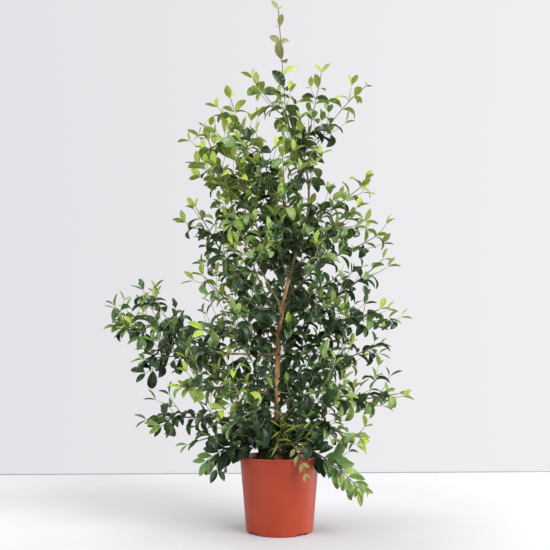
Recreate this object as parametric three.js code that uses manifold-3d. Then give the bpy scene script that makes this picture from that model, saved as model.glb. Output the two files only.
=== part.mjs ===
// A potted brush cherry: plastic pot, compost, trunk, boughs and loose leafy masses.
// Millimetres, +Z up, origin at the centre of the pot's flat underside.
// The photograph is taken from the -Y side, with +X on its right.
import * as THREE from "three";
import { mergeVertices } from "three/addons/utils/BufferGeometryUtils.js";
import Module from "manifold-3d";

const wasm = await Module();
wasm.setup();

// Clearances between neighbouring solids
const GAP = 0.3;
const LEAF_MARGIN = 1;
const SHOOT_CLEARANCE = 16;
const LIMB_CLEARANCE = 4;
const LEAF_TO_LIMB = 2;
const POT_CLEARANCE = 5;
const TRUNK_SAMPLES = 160;
const BOUGH_SAMPLE_STEP = 6;
const TWIG_SAMPLE_STEP = 8;

// Pot, compost and drain slots
const POT_HEIGHT = 175;
const POT_TOP_RADIUS = 98.5;
const POT_BASE_RADIUS = 81.5;
const POT_WALL = 1.8;
const POT_FLOOR = 2.5;
const LIP_HEIGHT = 5;
const LIP_PROUD = 1;
const LIP_THICKNESS = 2.8;
const LIP_ROUNDING = 0.9;
const FOOT_ROUNDING = 2.5;
const POT_SIDES = 36;
const DRAIN_SLOTS = 4;
const DRAIN_WIDTH = 30;
const DRAIN_HEIGHT = 5;
const DRAIN_DEPTH = 10;
const DRAIN_FIRST_BEARING = -50;
const SOIL_BELOW_RIM = 14;
const SOIL_DOME = 4;
const SOIL_DOME_RADIUS = 43;

// Trunk line: height, sideways lean and depth lean of points along its middle
const SOIL_TOP = POT_HEIGHT - SOIL_BELOW_RIM + SOIL_DOME;
const TRUNK_LINE = [
  { height: SOIL_TOP + GAP, side: -6, depth: 0 },
  { height: 290, side: -6, depth: 0 },
  { height: 410, side: -4, depth: 2 },
  { height: 515, side: 3, depth: 4 },
  { height: 650, side: 32, depth: 6 },
  { height: 770, side: 71, depth: 6 },
  { height: 870, side: 81, depth: 4 },
  { height: 940, side: 70, depth: 2 },
  { height: 1020, side: 37, depth: 0 },
  { height: 1100, side: 18, depth: -2 },
];
const TRUNK_GIRTH = [
  { height: SOIL_TOP + GAP, radius: 7.2 },
  { height: 500, radius: 6.4 },
  { height: 590, radius: 4.4 },
  { height: 700, radius: 3.6 },
  { height: 1100, radius: 2 },
];
const ROOT_FLARE = 4.5;
const ROOT_FLARE_HEIGHT = 12;
const ROOT_RIBS = 5;
const ROOT_RIB_HOLLOW = 0.5;
const TRUNK_SIDES = 10;
const TRUNK_STEPS = 20;

// Twigs and leaves, the leaves fewer and larger than life
const BOUGH_SIDES = 5;
const BOUGH_STEPS = 3;
const BOUGH_SLENDERNESS = 130;
const BOUGH_TO_TRUNK = 0.5;
const TWIG_SIDES = 3;
const STEM_STEPS = 3;
const SHOOT_STEPS = 2;
const STEM_TIP_RADIUS = 1.7;
const SHOOT_RADIUS = 1.5;
const SHOOT_TIP_RADIUS = 1.2;
const SHOOT_ANGLE = 46;
const SHOOT_LIFT = 0.3;
const SHOOT_TURN = 137.5;
const SHOOT_BEND = 0.55;
const SHOOT_ROLL_PLAY = 40;
const SHOOT_ANGLE_PLAY = 16;
const FIRST_SHOOT = 0.1;
const LAST_SHOOT = 0.86;
const LOW_SHOOT = 1.1;
const HIGH_SHOOT = 0.6;
const LEAF_LENGTH = 68;
const LEAF_WIDTH = 37;
const LEAF_THICKNESS = 2.2;
const LEAF_SINK = 0.3;
const LEAF_THICKEST = 0.32;
const LEAF_TIP_HALF = 1.1;
const LEAF_ROOT_HALF = 0.9;
const LEAF_ANGLE = 52;
const LAST_LEAF_ANGLE = 31;
const LEAF_ANGLE_PLAY = 14;
const LEAF_ROLL_PLAY = 24;
const SMALLEST_LEAF = 0.82;
const LARGEST_LEAF = 1.08;
const LEAF_FOOT = 10;
const LEAF_ARCH = 0.24;
const LEAF_FOLD = 0.14;
const LEAF_LEVELLING = 0.8;
const FACE_OUTWARD = 0.55;
const FACE_UPWARD = 0.65;
const FACE_FORWARD = 0.3;
const FIRST_PAIR_ON_STEM = 0.25;
const FIRST_PAIR_PAST_BOUGH = 0.12;
const FIRST_PAIR_ON_SHOOT = 0.38;
const LAST_PAIR = 0.985;
const LAST_LEAF_REACH = 0.6;
const PAIR_SPACING = 51;
const PAIR_STAGGER = 4;
const LEAF_APART = 11;
const FEWEST_LEAVES = 2;
const SEED = 18;
const LEAF_SEED = 1018;
const SEED_STEP = 17;

// Limbs: each is one line from the trunk to the tip of its leafy mass.
// foot is the height on the trunk, bearing turns from the right (0) through the back (90),
// reach and climb go out and up to the tip, bow lifts or drops the middle,
// bare is the share that is a bare bough, shoots and spread shape the mass.
const limbRow = (name, foot, bearing, reach, climb, bow, bare, shoots, spread) => (
  { name, foot, bearing, reach, climb, bow, bare, shoots, spread }
);
const LIMBS = [
  limbRow("leader", 1099, 188, 22, 341, 10, 0, 0, 60),
  limbRow("leader_left", 1070, 190, 118, 149, -20, 0, 2, 70),
  limbRow("fork_mid", 950, -12, 60, 290, 0, 0, 2, 56),
  limbRow("fork_right", 940, 0, 194, 250, 60, 0.3, 1, 44),
  limbRow("top_back", 880, 118, 135, 240, -30, 0, 2, 90),
  limbRow("right_shoot", 770, -5, 176, 125, -10, 0, 3, 65),
  limbRow("right_back_up", 690, 48, 210, 150, -30, 0, 3, 100),
  limbRow("back_up", 700, 112, 220, 270, -40, 0, 3, 110),
  limbRow("inner_up", 690, 203, 125, 360, -40, 0.3, 4, 100),
  limbRow("left_inner", 620, 165, 178, 580, -60, 0.35, 4, 98),
  limbRow("front_up", 640, 258, 110, 320, -20, 0, 3, 95),
  limbRow("right_fill", 650, -28, 215, 170, -20, 0, 3, 95),
  limbRow("left_top", 545, 185, 228, 540, -85, 0.3, 5, 98),
  limbRow("right_high", 640, 10, 272, 130, -20, 0, 3, 110),
  limbRow("front_left_high", 585, 208, 175, 420, -60, 0, 4, 115),
  limbRow("front_right", 560, -58, 245, 130, -10, 0, 3, 85),
  limbRow("back_mid_right", 535, 40, 255, 160, -30, 0, 3, 95),
  limbRow("back_mid", 520, 80, 310, 230, -40, 0, 4, 120),
  limbRow("front_left", 505, 243, 230, 225, -30, 0, 3, 110),
  limbRow("right_upper", 490, -3, 300, 208, -40, 0.35, 3, 80),
  limbRow("front_right_mid", 445, -42, 200, 115, 0, 0, 3, 95),
  limbRow("back_mid_left", 480, 128, 290, 265, -40, 0, 4, 120),
  limbRow("left_upper", 465, 186, 238, 378, -25, 0.3, 4, 85),
  limbRow("left_shelf", 425, 200, 222, 215, 0, 0, 2, 95),
  limbRow("right_mid_up", 415, -14, 292, 135, -10, 0.3, 3, 94),
  limbRow("front_left_mid", 400, 224, 245, 95, 0, 0, 3, 95),
  limbRow("left_far", 455, 173, 470, 50, 32, 0.4, 5, 98),
  limbRow("right_mid", 345, 8, 306, 120, 0, 0.3, 3, 60),
  limbRow("left_mid", 425, 188, 374, -18, 15, 0.3, 4, 98),
  limbRow("back_right_low", 330, 44, 320, 95, 0, 0, 3, 115),
  limbRow("front_left_near", 320, 212, 300, 25, 15, 0, 3, 110),
  limbRow("back_low", 310, 88, 340, 85, 10, 0, 4, 115),
  limbRow("back_left_low", 300, 138, 335, 185, 0, 0.3, 4, 120),
  limbRow("front_right_low", 300, -54, 280, 45, 10, 0, 3, 105),
  limbRow("front_left_low", 290, 245, 275, -50, 40, 0, 3, 105),
  limbRow("right_low", 268, -4, 336, 62, 10, 0.25, 4, 76),
  limbRow("left_low", 252, 186, 355, 8, 25, 0.25, 4, 66),
  limbRow("right_skirt", 238, -32, 255, -20, 30, 0, 3, 90),
  limbRow("back_right_skirt", 222, 55, 235, -30, 60, 0, 3, 95),
  limbRow("back_left_skirt", 214, 125, 235, -15, 55, 0, 3, 95),
  limbRow("right_droop", 206, -24, 236, -125, 68, 0, 2, 85),
  limbRow("left_droop", 202, 194, 205, -58, 60, 0, 2, 85),
  limbRow("front_droop", 198, -60, 153, -92, 106, 0, 1, 50),
  limbRow("left_skirt", 230, 205, 262, -32, 35, 0, 3, 78),
];

const UP = new THREE.Vector3(0, 0, 1);

// Small helpers

function radians(degrees) {
  return degrees * Math.PI / 180;
}

function mix(from, to, share) {
  return from + (to - from) * share;
}

// A number source that always gives the same run for the same seed
function seededRandom(seed) {
  let state = Math.imul(seed + 1, 2654435761) >>> 0;
  return () => {
    state = (Math.imul(state, 1664525) + 1013904223) >>> 0;
    return state / 4294967296;
  };
}

function aimed(along, across, angle) {
  const turned = along.clone().multiplyScalar(Math.cos(angle));
  return turned.addScaledVector(across, Math.sin(angle)).normalize();
}

// The direction square to a line, turned by roll about it
function outward(along, roll) {
  const side = new THREE.Vector3().crossVectors(along, UP);
  if (side.length() < 0.05) side.set(1, 0, 0);
  side.normalize();
  const over = new THREE.Vector3().crossVectors(side, along);
  return side.multiplyScalar(Math.cos(roll)).addScaledVector(over, Math.sin(roll)).normalize();
}

// Solids

function solidOf(geometry) {
  geometry.deleteAttribute("normal");
  geometry.deleteAttribute("uv");
  const merged = mergeVertices(geometry, 1e-5);
  const mesh = new wasm.Mesh({
    numProp: 3,
    vertProperties: new Float32Array(merged.attributes.position.array),
    triVerts: new Uint32Array(merged.index.array),
  });
  return new wasm.Manifold(mesh);
}

// The one body of a solid: loose scraps are dropped and sealed hollows filled
function oneBody(solid) {
  const bodies = solid.decompose();
  bodies.sort((a, b) => b.volume() - a.volume());
  return bodies[0];
}

function meshOf(name, solid, material) {
  const source = solid.getMesh();
  const geometry = new THREE.BufferGeometry();
  const points = new THREE.Float32BufferAttribute(source.vertProperties, source.numProp);
  geometry.setAttribute("position", points);
  geometry.setIndex(Array.from(source.triVerts));
  geometry.computeVertexNormals();
  const mesh = new THREE.Mesh(geometry, material.clone());
  mesh.name = name;
  return mesh;
}

// A tapering limb: a cylinder bent along a curve, its radius given by a function
function bentLimb(curve, radiusAt, sides, steps) {
  const geometry = new THREE.CylinderGeometry(1, 1, 1, sides, steps);
  const frames = curve.computeFrenetFrames(steps, false);
  const place = geometry.attributes.position;
  for (let i = 0; i < place.count; i += 1) {
    const ring = Math.round((place.getY(i) + 0.5) * steps);
    const centre = curve.getPointAt(ring / steps);
    const radius = radiusAt(ring / steps, Math.atan2(place.getX(i), place.getZ(i)));
    centre.addScaledVector(frames.binormals[ring], place.getX(i) * radius);
    centre.addScaledVector(frames.normals[ring], place.getZ(i) * radius);
    place.setXYZ(i, centre.x, centre.y, centre.z);
  }
  return solidOf(geometry);
}

// The stretch of a three-point curve between two shares of it
function stretch(curve, from, to) {
  const middle = curve.v0.clone().multiplyScalar((1 - from) * (1 - to));
  middle.addScaledVector(curve.v1, from * (1 - to) + to * (1 - from));
  middle.addScaledVector(curve.v2, from * to);
  return new THREE.QuadraticBezierCurve3(curve.getPoint(from), middle, curve.getPoint(to));
}

// A leaf: a six-cornered shell, widest past its middle, folded along its rib and arched
function leafCorners(root, along, face, size) {
  const normal = face.clone().addScaledVector(along, -face.dot(along)).normalize();
  const across = new THREE.Vector3().crossVectors(along, normal);
  const geometry = new THREE.SphereGeometry(1, 6, 2);
  const place = geometry.attributes.position;
  const corners = [];
  for (let i = 0; i < place.count; i += 1) {
    const share = (place.getX(i) + 1) / 2;
    const half = place.getZ(i) * (share > 0.5 ? LEAF_TIP_HALF : LEAF_ROOT_HALF) / Math.sin(radians(60));
    const isEdge = Math.abs(place.getY(i)) < 0.5;
    const lengthways = isEdge ? mix(-LEAF_SINK / LEAF_LENGTH, 1, share) : LEAF_THICKEST;
    const archDrop = LEAF_ARCH * lengthways * lengthways * LEAF_LENGTH;
    const foldLift = LEAF_FOLD * Math.abs(half) * LEAF_WIDTH / 2;
    const thick = isEdge ? 0 : Math.sign(place.getY(i)) * LEAF_THICKNESS / 2;
    const corner = root.clone();
    corner.addScaledVector(along, lengthways * LEAF_LENGTH * size);
    corner.addScaledVector(across, half * LEAF_WIDTH / 2 * size);
    corner.addScaledVector(normal, (foldLift - archDrop) * size + thick);
    place.setXYZ(i, corner.x, corner.y, corner.z);
    corners.push(corner);
  }
  return { geometry, corners };
}

// Pot and compost

function potRadiusAt(height) {
  return mix(POT_BASE_RADIUS, POT_TOP_RADIUS, height / POT_HEIGHT);
}

function lathed(profile, sides) {
  const points = profile.map(([radius, height]) => new THREE.Vector2(radius, height));
  const geometry = new THREE.LatheGeometry(points, sides);
  geometry.rotateX(Math.PI / 2);
  return solidOf(geometry);
}

function potSolid() {
  const lipFoot = POT_HEIGHT - LIP_HEIGHT;
  const profile = [
    [0, 0],
    [POT_BASE_RADIUS - FOOT_ROUNDING, 0],
    [potRadiusAt(FOOT_ROUNDING), FOOT_ROUNDING],
    [potRadiusAt(lipFoot), lipFoot],
    [POT_TOP_RADIUS + LIP_PROUD, lipFoot + LIP_ROUNDING],
    [POT_TOP_RADIUS + LIP_PROUD, POT_HEIGHT - LIP_ROUNDING],
    [POT_TOP_RADIUS + LIP_PROUD - LIP_ROUNDING, POT_HEIGHT],
    [POT_TOP_RADIUS + LIP_PROUD - LIP_THICKNESS, POT_HEIGHT],
    [potRadiusAt(lipFoot) - POT_WALL, lipFoot],
    [potRadiusAt(POT_FLOOR) - POT_WALL, POT_FLOOR],
    [0, POT_FLOOR],
  ];
  let pot = lathed(profile, POT_SIDES);
  for (let i = 0; i < DRAIN_SLOTS; i += 1) {
    const slot = new THREE.BoxGeometry(DRAIN_DEPTH * 2, DRAIN_WIDTH, DRAIN_HEIGHT * 2);
    slot.translate(POT_BASE_RADIUS, 0, 0);
    slot.rotateZ(radians(DRAIN_FIRST_BEARING + i * 360 / DRAIN_SLOTS));
    pot = pot.subtract(solidOf(slot));
  }
  return pot;
}

function soilSolid() {
  const floor = POT_FLOOR + GAP;
  const top = POT_HEIGHT - SOIL_BELOW_RIM;
  const profile = [
    [0, floor],
    [potRadiusAt(floor) - POT_WALL - GAP, floor],
    [potRadiusAt(top) - POT_WALL - GAP, top],
    [SOIL_DOME_RADIUS, top + SOIL_DOME],
    [0, top + SOIL_DOME],
  ];
  return lathed(profile, POT_SIDES);
}

// Trunk

const trunkPoints = TRUNK_LINE.map((p) => new THREE.Vector3(p.side, p.depth, p.height));
const trunkCurve = new THREE.CatmullRomCurve3(trunkPoints, false, "catmullrom", 0.5);

function trunkShareAt(height) {
  let low = 0;
  let high = 1;
  for (let i = 0; i < 40; i += 1) {
    const middle = (low + high) / 2;
    if (trunkCurve.getPoint(middle).z < height) low = middle;
    else high = middle;
  }
  return (low + high) / 2;
}

// Half the trunk's thickness at a height, by straight tapers between its girths
function trunkRadiusAt(height) {
  const above = TRUNK_GIRTH.findIndex((girth) => girth.height >= height);
  if (above < 0) return TRUNK_GIRTH[TRUNK_GIRTH.length - 1].radius;
  const high = TRUNK_GIRTH[Math.max(above, 1)];
  const low = TRUNK_GIRTH[Math.max(above, 1) - 1];
  return mix(low.radius, high.radius, (height - low.height) / (high.height - low.height));
}

function trunkSolid(extra) {
  const radiusAt = (share, angle) => {
    const height = trunkCurve.getPointAt(share).z;
    const above = height - TRUNK_LINE[0].height;
    const flare = ROOT_FLARE * Math.exp(-above / ROOT_FLARE_HEIGHT);
    const rib = mix(ROOT_RIB_HOLLOW, 1, (1 + Math.cos(angle * ROOT_RIBS)) / 2);
    return trunkRadiusAt(height) + flare * rib + extra;
  };
  return bentLimb(trunkCurve, radiusAt, TRUNK_SIDES, TRUNK_STEPS);
}

// Limb lines

function limbCurve(limb) {
  const root = trunkCurve.getPoint(trunkShareAt(limb.foot));
  const bearing = radians(limb.bearing);
  const tip = root.clone();
  tip.x += limb.reach * Math.cos(bearing);
  tip.y += limb.reach * Math.sin(bearing);
  tip.z += limb.climb;
  const middle = root.clone().lerp(tip, 0.5);
  middle.z += limb.bow;
  return new THREE.QuadraticBezierCurve3(root, middle, tip);
}

const limbs = LIMBS.map((limb, index) => {
  const curve = limbCurve(limb);
  const length = curve.getLength();
  return {
    ...limb,
    curve,
    length,
    stemStart: limb.bare + (limb.bare > 0 ? GAP / length : 0),
    stemEnd: 1 - LAST_LEAF_REACH * LEAF_LENGTH / length,
    rootRadius: Math.min(
      trunkRadiusAt(limb.foot) * BOUGH_TO_TRUNK,
      STEM_TIP_RADIUS + length / BOUGH_SLENDERNESS,
    ),
    random: seededRandom(SEED + index * SEED_STEP),
    leafRandom: seededRandom(LEAF_SEED + index * SEED_STEP),
    twigs: [],
    samples: [],
    blades: [],
  };
});

function limbRadiusAt(limb, share) {
  return mix(limb.rootRadius, STEM_TIP_RADIUS, share);
}

// Spaces: a point belongs to the mass whose stem and shoots are nearest

function nearest(point, samples) {
  let best = Infinity;
  for (const sample of samples) {
    best = Math.min(best, sample.distanceToSquared(point));
  }
  return Math.sqrt(best);
}

const hardSamples = [];
for (let i = 0; i <= TRUNK_SAMPLES; i += 1) {
  const point = trunkCurve.getPoint(i / TRUNK_SAMPLES);
  hardSamples.push({ point, radius: trunkRadiusAt(point.z), owner: null });
}
for (const limb of limbs) {
  const steps = Math.ceil(limb.bare * limb.length / BOUGH_SAMPLE_STEP);
  for (let i = 0; i < steps; i += 1) {
    const share = limb.bare * i / steps;
    hardSamples.push({ point: limb.curve.getPoint(share), radius: limbRadiusAt(limb, share), owner: limb });
  }
}

function touchesHard(point, clearance) {
  const belowRim = point.z < POT_HEIGHT + POT_CLEARANCE;
  const inPot = belowRim && Math.hypot(point.x, point.y) < POT_TOP_RADIUS + POT_CLEARANCE;
  if (inPot || point.z < POT_CLEARANCE) return true;
  return hardSamples.some((hard) => hard.point.distanceTo(point) < hard.radius + clearance);
}

function sampleCurve(curve, spacing) {
  const steps = Math.max(2, Math.ceil(curve.getLength() / spacing));
  return Array.from({ length: steps + 1 }, (_, i) => curve.getPoint(i / steps));
}

function nearOther(point, owner, clearance) {
  return limbs.some((limb) => limb !== owner && nearest(point, limb.samples) < clearance);
}

// Stems and side shoots

for (const limb of limbs) {
  const curve = stretch(limb.curve, limb.stemStart, limb.stemEnd);
  limb.twigs.push({
    curve,
    fromRadius: limbRadiusAt(limb, limb.stemStart),
    toRadius: STEM_TIP_RADIUS,
    steps: STEM_STEPS,
    firstPair: limb.bare > 0 ? FIRST_PAIR_PAST_BOUGH : FIRST_PAIR_ON_STEM,
  });
  limb.samples.push(...sampleCurve(curve, TWIG_SAMPLE_STEP));
}

function growShoot(limb, index) {
  const stem = limb.twigs[0].curve;
  const place = index + mix(0.3, 0.7, limb.random());
  const share = mix(FIRST_SHOOT, LAST_SHOOT, place / limb.shoots);
  const roll = radians(index * SHOOT_TURN + limb.bearing + SHOOT_ROLL_PLAY * limb.random());
  const angle = radians(SHOOT_ANGLE + SHOOT_ANGLE_PLAY * (limb.random() - 0.5));
  const length = limb.spread * mix(LOW_SHOOT, HIGH_SHOOT, share) * mix(0.85, 1.1, limb.random());
  const root = stem.getPoint(share);
  const along = stem.getTangent(share);
  const heading = aimed(along, outward(along, roll), angle);
  const middle = root.clone().addScaledVector(heading, length * SHOOT_BEND);
  const tip = root.clone().addScaledVector(heading, length);
  tip.z += length * SHOOT_LIFT;
  return new THREE.QuadraticBezierCurve3(root, middle, tip);
}

for (const limb of limbs) {
  for (let i = 0; i < limb.shoots; i += 1) {
    const curve = growShoot(limb, i);
    const samples = sampleCurve(curve, TWIG_SAMPLE_STEP);
    const beyond = samples.slice(2);
    const blocked = samples.slice(1).some((p) => touchesHard(p, LIMB_CLEARANCE));
    const crowded = beyond.some((p) => nearOther(p, limb, SHOOT_CLEARANCE));
    if (blocked || crowded) continue;
    limb.twigs.push({
      curve,
      fromRadius: SHOOT_RADIUS,
      toRadius: SHOOT_TIP_RADIUS,
      steps: SHOOT_STEPS,
      firstPair: FIRST_PAIR_ON_SHOOT,
    });
    limb.samples.push(...beyond);
  }
}

// Leaves in opposite pairs, each pair turned a quarter from the last

function leafFits(corners, limb) {
  const chords = corners.map((corner, i) => corner.clone().lerp(corners[(i + 3) % corners.length], 0.5));
  const tests = corners.concat(chords);
  return tests.every((point) => {
    if (touchesHard(point, LEAF_TO_LIMB)) return false;
    if (nearest(point, limb.blades) < LEAF_APART) return false;
    const own = nearest(point, limb.samples);
    return !nearOther(point, limb, own + 2 * LEAF_MARGIN);
  });
}

function growLeaves(limb, twig) {
  const leaves = [];
  const length = twig.curve.getLength();
  const pairs = Math.max(1, Math.round(length * (1 - twig.firstPair) / PAIR_SPACING));
  const startRoll = limb.leafRandom() * 360;
  for (let pair = 0; pair <= pairs; pair += 1) {
    for (let side = 0; side < 2; side += 1) {
      const share = mix(twig.firstPair, LAST_PAIR, pair / pairs) - side * PAIR_STAGGER / length;
      const root = twig.curve.getPoint(share);
      const along = twig.curve.getTangent(share);
      const roll = radians(startRoll + pair * 90 + side * 180 + LEAF_ROLL_PLAY * (limb.leafRandom() - 0.5));
      const spread = pair === pairs ? LAST_LEAF_ANGLE : LEAF_ANGLE;
      const angle = radians(spread + LEAF_ANGLE_PLAY * (limb.leafRandom() - 0.5));
      const size = mix(SMALLEST_LEAF, LARGEST_LEAF, limb.leafRandom());
      const heading = aimed(along, outward(along, roll), angle);
      heading.z *= LEAF_LEVELLING;
      heading.normalize();
      const face = new THREE.Vector3(root.x, root.y, 0).normalize().multiplyScalar(FACE_OUTWARD);
      face.z = FACE_UPWARD;
      face.addScaledVector(along, FACE_FORWARD);
      face.x += limb.leafRandom() - 0.5;
      face.y += limb.leafRandom() - 0.5;
      const leaf = leafCorners(root, heading, face, size);
      const blade = leaf.corners.filter((corner) => corner.distanceTo(root) > LEAF_FOOT);
      if (leafFits(blade, limb)) {
        limb.blades.push(...blade);
        leaves.push(solidOf(leaf.geometry));
      }
    }
  }
  return leaves;
}

// Colours

const terracotta = new THREE.MeshStandardMaterial({ color: 0xb4503a, roughness: 0.55 });
const compost = new THREE.MeshStandardMaterial({ color: 0x3a2a20, roughness: 0.95 });
const bark = new THREE.MeshStandardMaterial({ color: 0x8f7458, roughness: 0.9 });
const foliage = new THREE.MeshStandardMaterial({ color: 0x4a6a32, roughness: 0.6 });

// Assembly

const group = new THREE.Group();
group.name = "potted_brush_cherry";
group.add(meshOf("pot", potSolid(), terracotta));
group.add(meshOf("soil", soilSolid(), compost));
group.add(meshOf("trunk", trunkSolid(0), bark));

const trunkWithGap = trunkSolid(GAP);
for (const limb of limbs) {
  if (limb.bare > 0) {
    const boughCurve = stretch(limb.curve, 0, limb.bare);
    const boughRadius = (share) => limbRadiusAt(limb, share * limb.bare);
    const bough = bentLimb(boughCurve, boughRadius, BOUGH_SIDES, BOUGH_STEPS);
    group.add(meshOf(`${limb.name}_bough`, oneBody(bough.subtract(trunkWithGap)), bark));
  }
  const pieces = [];
  for (const twig of limb.twigs) {
    const leaves = growLeaves(limb, twig);
    if (twig !== limb.twigs[0] && leaves.length < FEWEST_LEAVES) continue;
    const radiusAt = (share) => mix(twig.fromRadius, twig.toRadius, share);
    pieces.push(bentLimb(twig.curve, radiusAt, TWIG_SIDES, twig.steps));
    pieces.push(...leaves);
  }
  const mass = wasm.Manifold.union(pieces).subtract(trunkWithGap);
  group.add(meshOf(`${limb.name}_mass`, oneBody(mass), foliage));
}
export default group;
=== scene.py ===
import math

import bpy
from mathutils import Matrix, Vector, noise


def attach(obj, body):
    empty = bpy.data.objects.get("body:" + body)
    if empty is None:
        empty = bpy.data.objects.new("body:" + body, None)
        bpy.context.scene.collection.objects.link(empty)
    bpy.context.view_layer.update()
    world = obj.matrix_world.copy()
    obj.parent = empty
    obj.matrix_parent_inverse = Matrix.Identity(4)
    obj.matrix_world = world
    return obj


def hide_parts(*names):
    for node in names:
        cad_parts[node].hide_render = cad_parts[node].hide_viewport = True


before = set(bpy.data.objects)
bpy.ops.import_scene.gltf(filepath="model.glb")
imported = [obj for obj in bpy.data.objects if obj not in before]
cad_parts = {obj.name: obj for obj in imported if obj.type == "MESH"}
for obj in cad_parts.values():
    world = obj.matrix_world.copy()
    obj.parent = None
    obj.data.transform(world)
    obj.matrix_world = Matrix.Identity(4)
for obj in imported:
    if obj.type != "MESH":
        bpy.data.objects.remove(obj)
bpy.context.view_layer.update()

MM = 0.001
UP = Vector((0, 0, 1))
# Any direction, in radians
ANY_TURN = (0, 6.3)
# Steps that measure a line, halvings that find a height, and the level part of a line near upright
LINE_STEPS = 24
HALVINGS = 40
NEARLY_UPRIGHT = 0.05

# Pot, in millimetres
POT_HEIGHT = 175
POT_TOP_RADIUS = 98.5
POT_BASE_RADIUS = 81.5
POT_WALL = 1.8
POT_WALL_RINGS = (60, 120)
POT_FLOOR = 2.5
POT_SEGMENTS = 144
POT_CREASE = 40
LIP_HEIGHT = 5
LIP_PROUD = 1
LIP_THICKNESS = 2.8
LIP_UNDERSIDE = 0.8
LIP_STEP = 0.6
LIP_ROUND_STEPS = 8
FOOT_ROUNDING = 2.5
FOOT_ROUND_STEPS = 5
FOOT_RING = 8
INNER_CORNER = 3
DRAIN_SLOTS = 4
DRAIN_WIDTH = 30
DRAIN_HEIGHT = 5
DRAIN_DEPTH = 10
DRAIN_FIRST_BEARING = -50

# Compost and the bark flakes on it, in millimetres; a layer is where its lumps are read
SOIL_BELOW_RIM = 14
SOIL_ABOVE_FLOOR = 0.2
SOIL_DOME = 4
SOIL_LUMP = 5
SOIL_LUMP_LAYER = 3
SOIL_COARSE_LUMP = 15
SOIL_COARSE_LAYER = 9
SOIL_LUMP_HEIGHT = 2.2
SOIL_RINGS = 34
SOIL_SEGMENTS = 110
SOIL_CREASE = 60
FLAKE_COUNT = 420
FLAKE_EDGE_GAP = 8
FLAKE_SPREAD = (0.03, 1)
FLAKE_LIFT = 0.6
FLAKE_TILT = 0.9
FLAKE_HALF_LENGTH = (1.5, 5.5)
FLAKE_HALF_WIDTH = (1, 2.6)
FLAKE_HALF_THICKNESS = (0.4, 0.9)
FLAKE_CORNERS = [(-1, -0.7), (0.1, -1), (1, -0.4), (0.8, 0.7), (-0.5, 1)]
FLAKE_WOBBLE = 0.4
FLAKE_CREASE = 30

# Trunk line: height, sideways lean and depth lean of points along its middle
SOIL_TOP = POT_HEIGHT - SOIL_BELOW_RIM + SOIL_DOME
TRUNK_BURIED = 8
TRUNK_LINE = [
    (SOIL_TOP + 0.3, -6, 0),
    (290, -6, 0),
    (410, -4, 2),
    (515, 3, 4),
    (650, 32, 6),
    (770, 71, 6),
    (870, 81, 4),
    (940, 70, 2),
    (1020, 37, 0),
    (1100, 18, -2),
]
# Trunk girth: height and half the thickness there
TRUNK_GIRTH = [(SOIL_TOP + 0.3, 7.2), (500, 6.4), (590, 4.4), (700, 3.6), (1100, 2)]
TRUNK_SIDES = 28
TRUNK_RING_STEP = 2.5
ROOT_FLARE = 4.5
ROOT_FLARE_HEIGHT = 12
ROOT_RIBS = 5
ROOT_RIB_DEPTH = 0.25
COLLAR_HEIGHT = 1.5
COLLAR_LENGTH = 9
COLLAR_FAINTEST = 0.02
COLLAR_LIMIT = 0.5

# Bark, in millimetres
GREEN_BARK_HEIGHTS = (620, 830)
BARK_BORDER_WANDER = 60
BARK_BORDER_LENGTH = 25
BARK_CREASE = 80
BARK_RIDGE = 0.45
BARK_RIDGE_WIDTH = 3
BARK_RIDGE_LENGTH = 22
FINE_RIDGES = 2.3
FINE_RIDGE_LENGTH = 5
FINE_RIDGE_SHARE = 0.5
FULL_RELIEF_RADIUS = 4
LEAF_SCAR_STEP = 34
LEAF_SCAR_HEIGHT = 0.5
LEAF_SCAR_WIDTH = 1.8
LEAF_SCAR_WANDER = 6
LEAF_SCAR_WANDER_LENGTH = 90

# Pruned stubs: height on the trunk, bearing and length of each
PRUNED_STUBS = [
    (362, -52, 6),
    (318, -58, 6),
    (423, -84, 4),
    (451, 150, 5),
    (238, 20, 6),
    (575, 15, 5),
]
# Stub shape: share of the stub's reach and half its thickness there
STUB_SHAPE = [(0.3, 3.2), (0.75, 2.8), (0.93, 2.5), (1, 1.6)]
STUB_RISE = 0.25
STUB_SIDES = 10
STUB_CREASE = 50

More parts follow.
